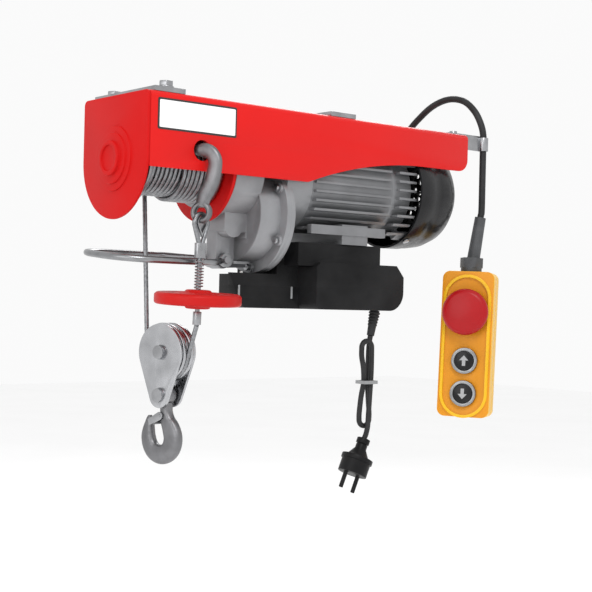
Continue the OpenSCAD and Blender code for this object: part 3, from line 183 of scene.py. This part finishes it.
# Name, colour, roughness, metallic, grain, bump, colour spread, roughness spread, blotch and coat.
FINISHES = {
    "red": finish("red_paint", (0.60, 0.006, 0.005), 0.38, 0, 420, 0.10, 0.03, 0.05, 8, 0.04, spec=0.2),
    "dark_red": finish("dark_red_paint", (0.50, 0.004, 0.004), 0.5, 0, 420, 0.10, 0.05, 0.05, 12, spec=0.12),
    "black_steel": finish("black_steel", (0.05, 0.05, 0.055), 0.42, 0.6, 700, 0.15, 0.25, 0.12, 60),
    "zinc": plated("zinc_plate", (0.33, 0.334, 0.345), 0.30),
    "lever": plated("lever_zinc", (0.25, 0.254, 0.262), 0.32),
    "bright": finish("polished_steel", (0.42, 0.425, 0.44), 0.26, 1.0, 500, 0.04, 0.14, 0.10, 45),
    "steel": finish("machined_steel", (0.26, 0.265, 0.275), 0.36, 1.0, 800, 0.08, 0.15, 0.1, 60),
    "forged": finish("forged_zinc", (0.175, 0.175, 0.182), 0.42, 0.9, 260, 0.35, 0.22, 0.12, 60, dist=0.0006),
    "rope": finish("wire_rope", (0.24, 0.245, 0.255), 0.38, 1.0, 1800, 0.35, 0.25, 0.12, 300),
    "cast": cast("cast_aluminium", (0.27, 0.274, 0.285), 0.46),
    "cast_light": cast("cast_aluminium_light", (0.26, 0.264, 0.274), 0.44),
    "fins": cast("cast_fins", (0.205, 0.208, 0.216), 0.46),
    "black": finish("black_moulding", (0.007, 0.007, 0.0075), 0.42, 0, 1400, 0.25, 0.3, 0.1, 25, spec=0.12),
    "black_gloss": finish("black_gloss", (0.009, 0.009, 0.010), 0.26, 0, 900, 0.08, 0.3, 0.08, 30, 0.05,
                          spec=0.2),
    "rubber": finish("black_rubber", (0.014, 0.014, 0.015), 0.55, 0, 900, 0.35, 0.3, 0.1, 60),
    "grey_rubber": finish("grey_sleeve", (0.06, 0.062, 0.066), 0.5, 0, 900, 0.3, 0.2, 0.1, 60),
    "yellow": finish("yellow_shell", (0.76, 0.425, 0.006), 0.35, 0, 1100, 0.12, 0.04, 0.06, 20, 0.08),
    "orange": finish("panel_floor", (0.66, 0.255, 0.008), 0.42, 0, 1100, 0.15, 0.05, 0.08, 20),
    "arrow": finish("button_mark", (0.34, 0.345, 0.35), 0.4, 0, 900, 0.05, 0.03, 0.05, 30),
    "tie": finish("grey_tie", (0.26, 0.265, 0.27), 0.42, 0, 900, 0.1, 0.1, 0.06, 40),
    "stop": finish("stop_red", (0.36, 0.006, 0.009), 0.34, 0, 900, 0.06, 0.05, 0.06, 25, 0.05, spec=0.2),
    "red_plastic": finish("red_plastic", (0.46, 0.008, 0.007), 0.44, 0, 900, 0.12, 0.06, 0.08, 25, 0.02,
                          spec=0.15),
    "collar": finish("silver_collar", (0.27, 0.275, 0.28), 0.30, 0.85, 800, 0.05, 0.1, 0.08, 40),
    "white": finish("white_plastic", (0.82, 0.82, 0.80), 0.38, 0, 900, 0.05, 0.03, 0.06, 20),
    "plate": finish("white_plate", (0.86, 0.86, 0.86), 0.3, 0, 900, 0.02, 0.015, 0.04, 20, 0.2),
    "plate_edge": finish("plate_border", (0.03, 0.03, 0.03), 0.35, 0, 900, 0.02, 0.1, 0.05, 20),
    "copper": finish("windings", (0.40, 0.16, 0.06), 0.45, 0.6, 900, 0.3, 0.2, 0.1, 80),
    "bronze": finish("bronze", (0.50, 0.33, 0.14), 0.4, 0.9, 900, 0.2, 0.15, 0.1, 60),
}

LOOK = {
    "frame_channel": "red", "front_plate": "dark_red", "bulkhead": "dark_red", "bearings": "bright",
    "clamp_straps": "zinc", "clamp_bolts": "zinc", "clamp_washers": "zinc",
    "clamp_nuts": "zinc", "anchor_hook": "forged", "rope_fittings": "zinc", "rope_end": "rope",
    "gearbox_housing": "cast", "gearbox_cover": "cast_light", "layshaft_bushes": "bronze",
    "motor_housing": "fins", "stator_core": "copper", "rear_end_shield": "fins", "fan_cover": "black_gloss",
    "housing_screws": "zinc", "control_box": "black", "control_box_cover": "black",
    "small_screws": "zinc", "capacitor": "white", "limit_switch": "white", "cord_glands": "rubber",
    "power_cord": "rubber", "power_cord_hank": "rubber", "cord_ties": "tie", "mains_plug": "black",
    "pendant_bracket": "zinc", "pendant_cord": "rubber", "pendant_cord_coil": "rubber",
    "pendant_front": "yellow", "pendant_back": "yellow", "pendant_boot": "grey_rubber",
    "pendant_contacts": "black", "button_collars": "collar", "lever_pivot_pin": "cast",
    "drum_barrel": "steel", "rope_winding": "rope", "drum_shaft": "steel", "drum_gear": "steel",
    "lay_shaft": "steel", "lay_gear": "steel", "rotor": "steel", "cooling_fan": "black",
    "block_plates": "bright", "block_pins": "zinc", "sheave": "bright", "load_hook": "forged",
    "safety_latch": "zinc", "rope_fall_drum": "rope", "rope_fall_anchor": "rope", "rope_bight": "rope",
    "rope_stop_disc": "red_plastic", "stop_spring": "zinc", "limit_lever": "lever",
    "e_stop_button": "stop", "up_button": "black_gloss", "down_button": "black_gloss",
}
for node, look in LOOK.items():
    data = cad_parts[node].data
    data.materials.clear()
    data.materials.append(FINISHES[look])


# ---- building helpers ----
def mesh_of(bm, name):
    """The mesh of bm, which is freed."""
    mesh = bpy.data.meshes.new(name)
    bm.to_mesh(mesh)
    bm.free()
    return mesh


def solid_of(bm, name):
    """The mesh of bm with its faces turned outward."""
    bmesh.ops.recalc_face_normals(bm, faces=bm.faces)
    return mesh_of(bm, name)


def smooth(mesh, angle):
    """Smooth shading, but for edges sharper than angle in degrees."""
    mesh.shade_smooth()
    mesh.set_sharp_from_angle(angle=math.radians(angle))


def add(name, mesh, look, body=None, node=None):
    """A piece that rides on body and stands for node; it takes look's finish when its mesh has none."""
    obj = link(name, mesh)
    if not mesh.materials:
        mesh.materials.append(FINISHES[look])
    if body:
        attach(obj, body)
    if node:
        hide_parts(node)
    return obj


def apply_modifiers(obj):
    """Gives obj the mesh that its modifiers make, and returns that mesh."""
    deps = bpy.context.evaluated_depsgraph_get()
    mesh = bpy.data.meshes.new_from_object(obj.evaluated_get(deps))
    obj.modifiers.clear()
    obj.data = mesh
    return mesh


def bridge(bm, first, second):
    """Faces between two rings of the same number of points."""
    k = len(first)
    for j in range(k):
        bm.faces.new((first[j], first[(j + 1) % k], second[(j + 1) % k], second[j]))


def tube(bm, rings):
    """Faces along the rings, and one over each end."""
    for first, second in zip(rings, rings[1:]):
        bridge(bm, first, second)
    bm.faces.new(list(reversed(rings[0])))
    bm.faces.new(rings[-1])


def join(*meshes):
    """One mesh that holds all of meshes."""
    bm = bmesh.new()
    for mesh in meshes:
        bm.from_mesh(mesh)
    return mesh_of(bm, "joined")


def spaced(pts, step=0.003):
    """The polyline pts with points added so none lie further apart than step, in metres."""
    out = [pts[0]]
    for a, b in zip(pts, pts[1:]):
        k = max(1, math.ceil((b - a).length / step))
        out += [a.lerp(b, (j + 1) / k) for j in range(k)]
    return out


def spline(points, steps):
    """Smooth curve through points, in this many steps from each to the next."""
    out = []
    for i in range(len(points) - 1):
        a = points[max(i - 1, 0)]
        b, c = points[i], points[i + 1]
        d = points[min(i + 2, len(points) - 1)]
        for j in range(steps):
            t = j / steps
            out.append(0.5 * (2 * b + (c - a) * t + (2 * a - 5 * b + 4 * c - d) * t * t
                              + (3 * b - a - 3 * c + d) * t * t * t))
    out.append(points[-1])
    return out


def tangent(pts, i):
    """Direction of the polyline pts at its point i."""
    return (pts[min(i + 1, len(pts) - 1)] - pts[max(i - 1, 0)]).normalized()


def lathe(profile, origin, axis, sides=64, sharp=30):
    """Mesh turned about axis through origin, from profile: (radius, along) in millimetres."""
    axis = Vector(axis).normalized()
    a = axis.orthogonal().normalized()
    b = axis.cross(a)
    bm = bmesh.new()
    rings = []
    for r, h in profile:
        centre = origin + axis * (h * MM)
        ring = []
        for j in range(sides):
            spoke = a * math.cos(TURN * j / sides) + b * math.sin(TURN * j / sides)
            ring.append(bm.verts.new(centre + spoke * r * MM))
        rings.append(ring)
    for first, second in zip(rings, rings[1:]):
        bridge(bm, first, second)
    mesh = solid_of(bm, "turned")
    smooth(mesh, sharp)
    return mesh


# ---- cords ----
PENDANT_CORD_D, MAINS_CORD_D = 0.008, 0.006
CORD_STEPS = 4      # steps of the smooth curve from one route point to the next
PEND_AT = Vector((475.5, -47.0, -162.0))
SLEEVE = Vector((483.0, -53.2, -96.0)) - PEND_AT

COIL_X, COIL_Z = 205, -58
COIL_R, COIL_INNER_R = 42.4, 34.5
COIL_Y, COIL_OUTER_Y = 65.9, 73.8
COIL_POINTS, POINTS_A_TURN = 56, 16
TO_OUTER, TO_INNER_R, TO_PLATE = 0.9, 1.9, 2.9      # turns after which the coil steps out, in and back


def curve(name, pts, diameter, look, body):
    """A round cord along pts."""
    data = bpy.data.curves.new(name, "CURVE")
    data.dimensions = "3D"
    data.bevel_depth = diameter / 2
    data.bevel_resolution = 5
    data.use_fill_caps = True
    run = data.splines.new("POLY")
    run.points.add(len(pts) - 1)
    for p, q in zip(run.points, pts):
        p.co = (q.x, q.y, q.z, 1)
    data.materials.append(FINISHES[look])
    obj = link(name, data)
    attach(obj, body)
    return obj


def coil_point(k):
    """Point k of the coil: out from the plate by one diameter, in to a smaller radius, and back."""
    turn = k / POINTS_A_TURN
    a = math.radians(90 + 360 / POINTS_A_TURN * k)
    y = min(COIL_OUTER_Y, COIL_Y + max(0.0, turn - TO_OUTER) * 34)
    if turn >= TO_PLATE:
        y = max(COIL_Y, COIL_OUTER_Y - (turn - TO_PLATE) * 34)
    r = max(COIL_INNER_R, COIL_R - max(0.0, turn - TO_INNER_R) * 36)
    return at(COIL_X + r * math.cos(a), y, COIL_Z + r * math.sin(a))


def bend(cx, cz, radius, y, start, end, steps=8):
    """Points of an arc in an upright plane, with angles in degrees."""
    out = []
    for k in range(steps + 1):
        a = math.radians(start + (end - start) * k / steps)
        out.append((cx + radius * math.cos(a), y, cz + radius * math.sin(a)))
    return out


pendant_route = [at(*(PEND_AT + SLEEVE * f)) for f in (0.08, 0.5, 1.0, 1.12)] + [at(*p) for p in (
    (484, -54, -60), (484, -54, -28), (484, -54, -12), (484, -54, 2), (483, -51, 16), (481, -42, 33),
    (478, -26, 47), (474, -4, 51), (470, 20, 44), (466, 42, 28), (462, 58, 12), (451, 68.5, -2),
    (434, 70.3, -12), (412, 69.8, -18), (380, 69.8, -23), (346, 69.8, -24), (312, 69.8, -22),
    (280, 69.4, -19), (248, 67.5, -16.5), (222, 66.1, -15.8))]
coil = [coil_point(k) for k in range(1, COIL_POINTS + 1)]
gland_route = [at(*p) for p in (
    (219, 66.3, -94), (237, 69.8, -103), (254, 73.5, -113), (269, 81, -124), (282, 86, -136),
    (292, 87, -150), (298, 84, -163), (300, 78, -170), (300, 73, -170))]
pendant_path = spline(pendant_route + coil + gland_route, CORD_STEPS)
pendant_cord = curve("pendant_cord_run", pendant_path, PENDANT_CORD_D, "rubber", "hoist")
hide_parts("pendant_cord", "pendant_cord_coil")

FOLD_R = 7.5        # radius of the bundle's folds
mains_route = [at(*p) for p in (
    [(319, -40, -240), (317.7, -39.9, -247), (317, -39.6, -262), (317, -39.5, -292),
     (318.2, -39.5, -310), (320, -39.5, -326)]
    + bend(312.5, -334, FOLD_R, -39.5, 0, -180)
    + [(305, -39.6, -326), (305.8, -41.2, -308), (306.6, -44, -292), (304, -46, -276), (301, -46, -263)]
    + bend(308.3, -253, FOLD_R, -46, 180, 0)
    + [(316, -46, -263), (316, -46, -278), (315.4, -46, -292), (314.2, -46, -312), (313.2, -46, -330),
       (312.9, -45.4, -342), (312.2, -43.7, -350.6), (310, -43, -356)])]
mains_path = spline(mains_route, CORD_STEPS)
mains_cord = curve("mains_cord_run", mains_path, MAINS_CORD_D, "rubber", "hoist")
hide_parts("power_cord", "power_cord_hank")

# ---- wire rope ----
ROPE_R, ROPE_LAY, STRANDS = 0.00245, 0.030, 6       # metres; a lay is one turn of the strands
VALLEY, LOBE = 0.84, 0.16                           # shares of the radius in the outline
ALONG = (1, 0, 0)
DRUM_Z, FIRST_R, SECOND_R, PITCH = -64.0, 32.22, 36.62, 5.3
DRUM_END, FLANGE_T, ROPE_HALF, GAP = 106, 4, 2.5, 0.3
WIND_END = DRUM_END - FLANGE_T - ROPE_HALF - GAP
FIRST_TURNS, SECOND_TURNS = 14.0, 7.5
FALL_X = WIND_END - SECOND_TURNS * PITCH
ARC_POINTS = 60     # in one turn on the drum, and round the sheave


def strand_outline(s, sides):
    """Offsets of the rope's outline at length s along it: lobes that turn once in each lay."""
    turned = TURN * s / ROPE_LAY
    out = []
    for j in range(sides):
        a = TURN * j / sides
        q = ROPE_R * (VALLEY + LOBE * abs(math.cos(STRANDS / 2 * (a - turned))))
        out.append((q * math.cos(a), q * math.sin(a)))
    return out


def laid_rope(pts, across, sides=24):
    """Mesh of laid rope along pts; across is a direction that isn't along the first stretch."""
    bm = bmesh.new()
    rings = []
    s = 0.0
    normal = Vector(across)
    for i, p in enumerate(pts):
        if i:
            s += (p - pts[i - 1]).length
        t = tangent(pts, i)
        normal = (normal - t * normal.dot(t)).normalized()
        other = t.cross(normal)
        rings.append([bm.verts.new(p + normal * u + other * w) for u, w in strand_outline(s, sides)])
    tube(bm, rings)
    mesh = solid_of(bm, "swept")
    smooth(mesh, 60)
    return mesh


def layer(radius, start_x, turns, way):
    """One layer of rope on the drum from start_x towards +X; way is the sense of its turns, 1 or -1."""
    pts = []
    for k in range(int(turns * ARC_POINTS) + 1):
        a = way * TURN * k / ARC_POINTS
        x = start_x + PITCH * k / ARC_POINTS
        pts.append(at(x, radius * math.cos(a), DRUM_Z + radius * math.sin(a)))
    return laid_rope(pts, ALONG, sides=18)


first_layer = layer(FIRST_R, WIND_END - FIRST_TURNS * PITCH, FIRST_TURNS, -1)
second_layer = layer(SECOND_R, FALL_X, SECOND_TURNS, 1)
add("rope_on_drum", join(first_layer, second_layer), "rope", "drum", "rope_winding")

# The block hangs turned by this angle: block_n is along its pins, block_t level in its plates' plane.
BLOCK_TURN = 13.6
SHEAVE_R = 28.0
block_n = level(BLOCK_TURN)
block_t = block_n.cross(UP)
block_c = at(59, -16, -258)
hook_c = at(59, -16, -302)


def sheave_point(a):
    """Point on the middle line of the rope round the sheave, at this angle in the sheave's plane."""
    return block_c + block_t * (SHEAVE_R * math.cos(a) * MM) + UP * (SHEAVE_R * math.sin(a) * MM)


far_a, near_a = math.radians(186.7), math.radians(-22.0)
far_touch = sheave_point(far_a)
near_touch = sheave_point(near_a)
fall_top = at(FALL_X, SECOND_R, DRUM_Z)
stack_top = at(65.3, -61.4, -147.2)
stack_end = at(66, -57, -230)
far_fall = add("rope_fall_far", laid_rope(spaced([fall_top, far_touch]), ALONG), "rope",
               node="rope_fall_drum")
near_fall = add("rope_fall_near", laid_rope(spaced([stack_end, near_touch]), ALONG), "rope",
                node="rope_fall_anchor")
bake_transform(far_fall)
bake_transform(near_fall)
arc = [sheave_point(far_a - TURN + (near_a - far_a + TURN) * k / ARC_POINTS) for k in range(ARC_POINTS + 1)]
add("rope_round_sheave", laid_rope(arc, tuple(block_n)), "rope", "hook_block", "rope_bight")

LOOP_R = 9.2
loop_c = at(65.3, -61.4, -127.2)
loop_t = level(10)
bow = [(LOOP_R * math.cos(math.radians(a)), LOOP_R * math.sin(math.radians(a)))
       for a in range(200, -21, -20)]
loop = [loop_c + loop_t * (u * MM) + UP * (v * MM)
        for u, v in [(-2.6, -21), (-3.0, -18.5)] + bow + [(3.0, -18.5), (2.6, -21)]]
loop_rope = laid_rope(spaced(spline(loop, 6)), (0, 1, 0))
stack_rope = laid_rope(spaced([stack_top, stack_end]), ALONG)
add("rope_anchor_end", join(loop_rope, stack_rope), "rope", "hoist", "rope_end")


# ---- hooks ----
def forging(spine, widths, thicks, plane, power):
    """Forged bar: spine in (u, v) millimetres, half widths in the plane and half thicknesses across it.

    plane is its centre and its u and v directions; a higher power makes the section squarer."""
    steps, sides = 5, 16
    centre, du, dv = plane
    dn = du.cross(dv)
    middle = spline([Vector((u, v, 0)) for u, v in spine], steps)

    def along(values):
        return [q.x for q in spline([Vector((w, 0, 0)) for w in values], steps)]

    ws, ts = along(widths), along(thicks)
    bm = bmesh.new()
    rings = []
    for i, p in enumerate(middle):
        t = tangent(middle, i)
        across = Vector((-t.y, t.x, 0))
        ring = []
        for j in range(sides):
            a = TURN * j / sides
            ca, sa = math.cos(a), math.sin(a)
            ca = math.copysign(abs(ca) ** (2 / power), ca)
            sa = math.copysign(abs(sa) ** (2 / power), sa)
            q = p + across * (ws[i] * ca)
            ring.append(bm.verts.new(centre + du * (q.x * MM) + dv * (q.y * MM) + dn * (ts[i] * sa * MM)))
        rings.append(ring)
    tube(bm, rings)
    return rounded(solid_of(bm, "forged"))


def rounded(mesh):
    """The mesh after one level of subdivision."""
    obj = link("tmp", mesh)
    mod = obj.modifiers.new("round", "SUBSURF")
    mod.levels = mod.render_levels = 1
    out = apply_modifiers(obj)
    bpy.data.objects.remove(obj)
    smooth(out, 60)
    return out


def load_hook():
    """The load hook's bowl and its eye on the block's lower pin."""
    spine = [(1, -7), (1, -12), (1.2, -18), (3.5, -26), (8, -34), (11, -43), (9.5, -52), (3.5, -58.8),
             (-5.5, -61.3), (-14.5, -58.6), (-20.5, -52), (-23, -44), (-22.8, -36.5), (-21.8, -29.5),
             (-21.5, -24.5), (-21.6, -21.8)]
    wide = [6.2, 6.0, 6.2, 8.0, 10.2, 11.1, 11.1, 10.6, 10.2, 9.6, 8.8, 8.1, 6.8, 4.9, 3.3, 1.6]
    deep = [6.2, 6.2, 6.3, 6.4, 6.4, 6.4, 6.4, 6.4, 6.3, 6.2, 6.0, 5.8, 5.2, 4.4, 3.4, 1.8]
    bowl = forging(spine, wide, deep, (hook_c, block_t, UP), 2.6)
    outline = [(5.1, -5.6), (5.5, -6.3), (8.2, -6.3), (9.1, -5.4), (9.3, -4), (9.3, 4), (9.1, 5.4),
               (8.2, 6.3), (5.5, 6.3), (5.1, 5.6), (5.1, -5.6)]
    add("load_hook_forging", join(bowl, lathe(outline, hook_c, block_n)), "forged", "load_hook", "load_hook")


def anchor_hook():
    """The bent hook through the side plate, and the eye that holds the rope's thimble."""
    hook_t = level(-60)
    bow_r = 14
    spine = [(0.5 + bow_r * math.cos(math.radians(a)), -13.5 + bow_r * math.sin(math.radians(a)))
             for a in (127, 110, 90, 70, 50, 30, 12)]
    spine += [(14.4, -14), (13.2, -22), (11, -30), (7.5, -38), (3.4, -45), (1.4, -52), (0.5, -57)]
    wide = [3.0, 6.0, 7.2, 7.4, 7.5, 7.5, 7.5, 7.5, 8.0, 8.2, 8.4, 8.2, 7.4, 7.0]
    deep = [3.0, 4.2, 4.4] + 9 * [4.45] + [4.4, 4.3]
    shank = forging(spine, wide, deep, (at(65.3, -61, -54.5), hook_t, UP), 2.3)
    steps = 16
    outline = [(8.5 - 3.0 * math.cos(TURN * k / steps), 4.3 * math.sin(TURN * k / steps))
               for k in range(steps + 1)]
    eye_c = at(65.3, -61, -116.5) + hook_t * (0.5 * MM)
    eye = lathe(outline, eye_c, hook_t.cross(UP), 48, 60)
    add("anchor_forging", join(shank, eye), "forged", "hoist", "anchor_hook")


load_hook()
anchor_hook()

# ---- rounded copies of CAD nodes ----
MERGE = 2e-6        # metres: corners closer than this are one
FLAT_ANGLE = 1.2    # degrees: faces that meet at less are one
EDGE_ANGLE = 38     # degrees: edges sharper than this are rounded
SHADE_ANGLE = 32

# Node, body, and width of its rounded edges in millimetres.
SOFT = [
    ("frame_channel", "hoist", 0.5), ("front_plate", "hoist", 0.9), ("bulkhead", "hoist", 0.5),
    ("clamp_straps", "hoist", 0.8), ("clamp_bolts", "hoist", 0.5), ("clamp_washers", "hoist", 0.3),
    ("gearbox_housing", "hoist", 1.2), ("gearbox_cover", "hoist", 1.2), ("motor_housing", "hoist", 0.7),
    ("rear_end_shield", "hoist", 0.7), ("fan_cover", "hoist", 0.8), ("housing_screws", "hoist", 0.4),
    ("control_box", "hoist", 1.6), ("control_box_cover", "hoist", 1.6), ("mains_plug", "hoist", 0.6),
    ("pendant_bracket", "hoist", 0.3), ("pendant_front", "hoist", 1.3), ("pendant_back", "hoist", 2.0),
    ("pendant_boot", "hoist", 0.6), ("button_collars", "hoist", 0.6), ("cord_glands", "hoist", 0.3),
    ("rope_fittings", "hoist", 0.6), ("block_plates", "hook_block", 0.7), ("block_pins", "hook_block", 0.6),
    ("sheave", "sheave", 0.6), ("safety_latch", "safety_latch", 0.3), ("rope_stop_disc", "rope_stop", 1.0),
    ("e_stop_button", "e_stop", 2.0), ("up_button", "up_button", 0.8), ("down_button", "down_button", 0.8),
    ("drum_barrel", "drum", 0.6), ("lever_pivot_pin", "hoist", 0.5), ("limit_lever", "limit_lever", 0.3),
]


def softened(node, body, width):
    """A copy of a CAD node with rounded edges, which stands for it."""
    bm = bmesh.new()
    bm.from_mesh(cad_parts[node].data)
    bmesh.ops.remove_doubles(bm, verts=bm.verts, dist=MERGE)
    bmesh.ops.dissolve_limit(bm, angle_limit=math.radians(FLAT_ANGLE), verts=bm.verts, edges=bm.edges)
    mesh = mesh_of(bm, node + "_soft")
    mesh.materials.clear()
    mesh.materials.append(FINISHES[LOOK[node]])
    obj = link(node + "_soft", mesh)
    mod = obj.modifiers.new("edges", "BEVEL")
    mod.width = width * MM
    mod.segments = 2
    mod.limit_method = "ANGLE"
    mod.angle_limit = math.radians(EDGE_ANGLE)
    mod.use_clamp_overlap = True
    smooth(apply_modifiers(obj), SHADE_ANGLE)
    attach(obj, body)
    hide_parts(node)
    return obj


def recolour(obj, look, test):
    """Gives the faces whose centre passes the test another finish."""
    mesh = obj.data
    mesh.materials.append(FINISHES[look])
    for face in mesh.polygons:
        if test(face.center):
            face.material_index = len(mesh.materials) - 1


soft = {node: softened(node, body, width) for node, body, width in SOFT}

# The pendant's own frame: its front at -Y, hanging down from its top.
pend_turn = Matrix.Rotation(math.radians(2), 3, "Y") @ Matrix.Rotation(math.radians(-57), 3, "Z")
pend_origin = at(*PEND_AT)


def pend(x, y, z):
    """A point given in millimetres in the pendant's own frame."""
    return pend_origin + pend_turn @ Vector((x * MM, y * MM, z * MM))


FLOOR_Y = (-16.5, -15.5)            # the sunk floor of the pendant's face, in its own frame
FLOOR_ENDS = (-32.5, -146.5)        # middles of its two round ends
FLOOR_R = 25.3
COVER_FRONT_Y = -26.3               # ribs on the box cover's near side, painted light grey as a painted highlight
RIBS_X, RIB_HALF = (141, 213), 0.0013
TAIL_X, TAIL_Z = 136.5, -163        # the limit lever's dark tail lies behind and below these


def on_panel_floor(c):
    q = pend_turn.transposed() @ (c - pend_origin) / MM
    past_end = max(q.z - FLOOR_ENDS[0], FLOOR_ENDS[1] - q.z, 0)
    return FLOOR_Y[0] < q.y < FLOOR_Y[1] and math.hypot(q.x, past_end) < FLOOR_R


# Faces of the near-side cover ribs, which take light grey as a painted highlight; the same grey is the cord
# ties' own colour.
def on_cover_rib_highlight(c):
    return c.y < at(0, COVER_FRONT_Y, 0).y and any(abs(c.x - at(x, 0, 0).x) < RIB_HALF for x in RIBS_X)


def on_lever_tail(c):
    return c.x > at(TAIL_X, 0, 0).x and c.z < at(0, 0, TAIL_Z).z


recolour(soft["pendant_front"], "orange", on_panel_floor)
# The near-side ribs of the black box cover get light grey as a painted highlight.
recolour(soft["control_box_cover"], "tie", on_cover_rib_highlight)
recolour(soft["limit_lever"], "black_steel", on_lever_tail)

# ---- arrows on the two direction buttons ----
ARROW_FOOT_Y, ARROW_FACE_Y = -22.5, -22.75
ARROW_HEAD = [(-5.5, 0.5), (5.5, 0.5), (0, 6.5)]
ARROW_STEM = [(-2, -6), (2, -6), (2, 0.5), (-2, 0.5)]


def arrow(name, body, z, way):
    """Raised arrow on a button's face; way is 1 for up and -1 for down."""
    bm = bmesh.new()
    for outline in (ARROW_HEAD, ARROW_STEM):
        low = [bm.verts.new(pend(x, ARROW_FOOT_Y, z + way * h)) for x, h in outline]
        top = [bm.verts.new(pend(x, ARROW_FACE_Y, z + way * h)) for x, h in outline]
        bm.faces.new(low)
        bm.faces.new(top)
        bridge(bm, low, top)
    add(name, solid_of(bm, name), "arrow", body)


arrow("up_arrow", "up_button", -107, 1)
arrow("down_arrow", "down_button", -146, -1)

# ---- blank plate on the near side ----
PLATE_X, PLATE_Z = (11, 107), (-38, -7)
PLATE_T = 0.35
CORNER_STEPS = 6


def panel(name, inset, y, r, look):
    """Thin plate on the near side with round corners, smaller than the whole plate by inset all round."""
    x0, x1 = PLATE_X[0] + inset, PLATE_X[1] - inset
    z0, z1 = PLATE_Z[0] + inset, PLATE_Z[1] - inset
    corners = ((x1 - r, z1 - r, 0), (x0 + r, z1 - r, 90), (x0 + r, z0 + r, 180), (x1 - r, z0 + r, 270))
    outline = []
    for cx, cz, start in corners:
        for k in range(CORNER_STEPS + 1):
            a = math.radians(start + 90 / CORNER_STEPS * k)
            outline.append((cx + r * math.cos(a), cz + r * math.sin(a)))
    bm = bmesh.new()
    front = [bm.verts.new(at(x, y - PLATE_T, z)) for x, z in outline]
    rear = [bm.verts.new(at(x, y, z)) for x, z in outline]
    bm.faces.new(front)
    bm.faces.new(list(reversed(rear)))
    bridge(bm, rear, front)
    add(name, solid_of(bm, name), look, "hoist")


panel("plate_border", 0, -61.0, 2.0, "plate_edge")
panel("plate_field", 2, -61.3, 1.2, "plate")

# ---- stage and light ----
FLOOR_HALF, FLOOR_DROP = 6.0, 0.30      # metres
WORLD_STRENGTH = 0.96
LIGHT_AIM = (0, 0, -0.12)


def make_floor():
    """A plain pale floor below the hoist."""
    z = cad_lo.z - FLOOR_DROP
    bm = bmesh.new()
    signs = ((-1, -1), (1, -1), (1, 1), (-1, 1))
    bm.faces.new([bm.verts.new((x * FLOOR_HALF, y * FLOOR_HALF, z)) for x, y in signs])
    mesh = mesh_of(bm, "floor")
    floor = link("floor", mesh)
    mesh.materials.append(finish("pale_floor", (0.96, 0.96, 0.96), 0.9, 0, 40, 0.0, 0.01, 0.02, 3))


def make_world():
    """Soft white light from all round."""
    world = bpy.data.worlds.new("studio")
    bpy.context.scene.world = world
    world.use_nodes = True
    sky = world.node_tree.nodes["Background"]
    sky.inputs["Color"].default_value = (1, 1, 1, 1)
    sky.inputs["Strength"].default_value = WORLD_STRENGTH


def area(name, where, size, power):
    """A round lamp that faces the hoist; size in metres and power in watts."""
    lamp = bpy.data.lights.new(name, "AREA")
    lamp.shape = "DISK"
    lamp.size = size
    lamp.energy = power
    obj = link(name, lamp)
    obj.location = where
    obj.rotation_euler = (Vector(LIGHT_AIM) - Vector(where)).to_track_quat("-Z", "Y").to_euler()


make_floor()
make_world()
area("key", (-0.9, -1.6, 1.5), 1.0, 24)
area("fill", (-1.8, -0.6, 0.2), 1.2, 7)
area("rim", (1.4, 1.0, 1.2), 0.9, 14)
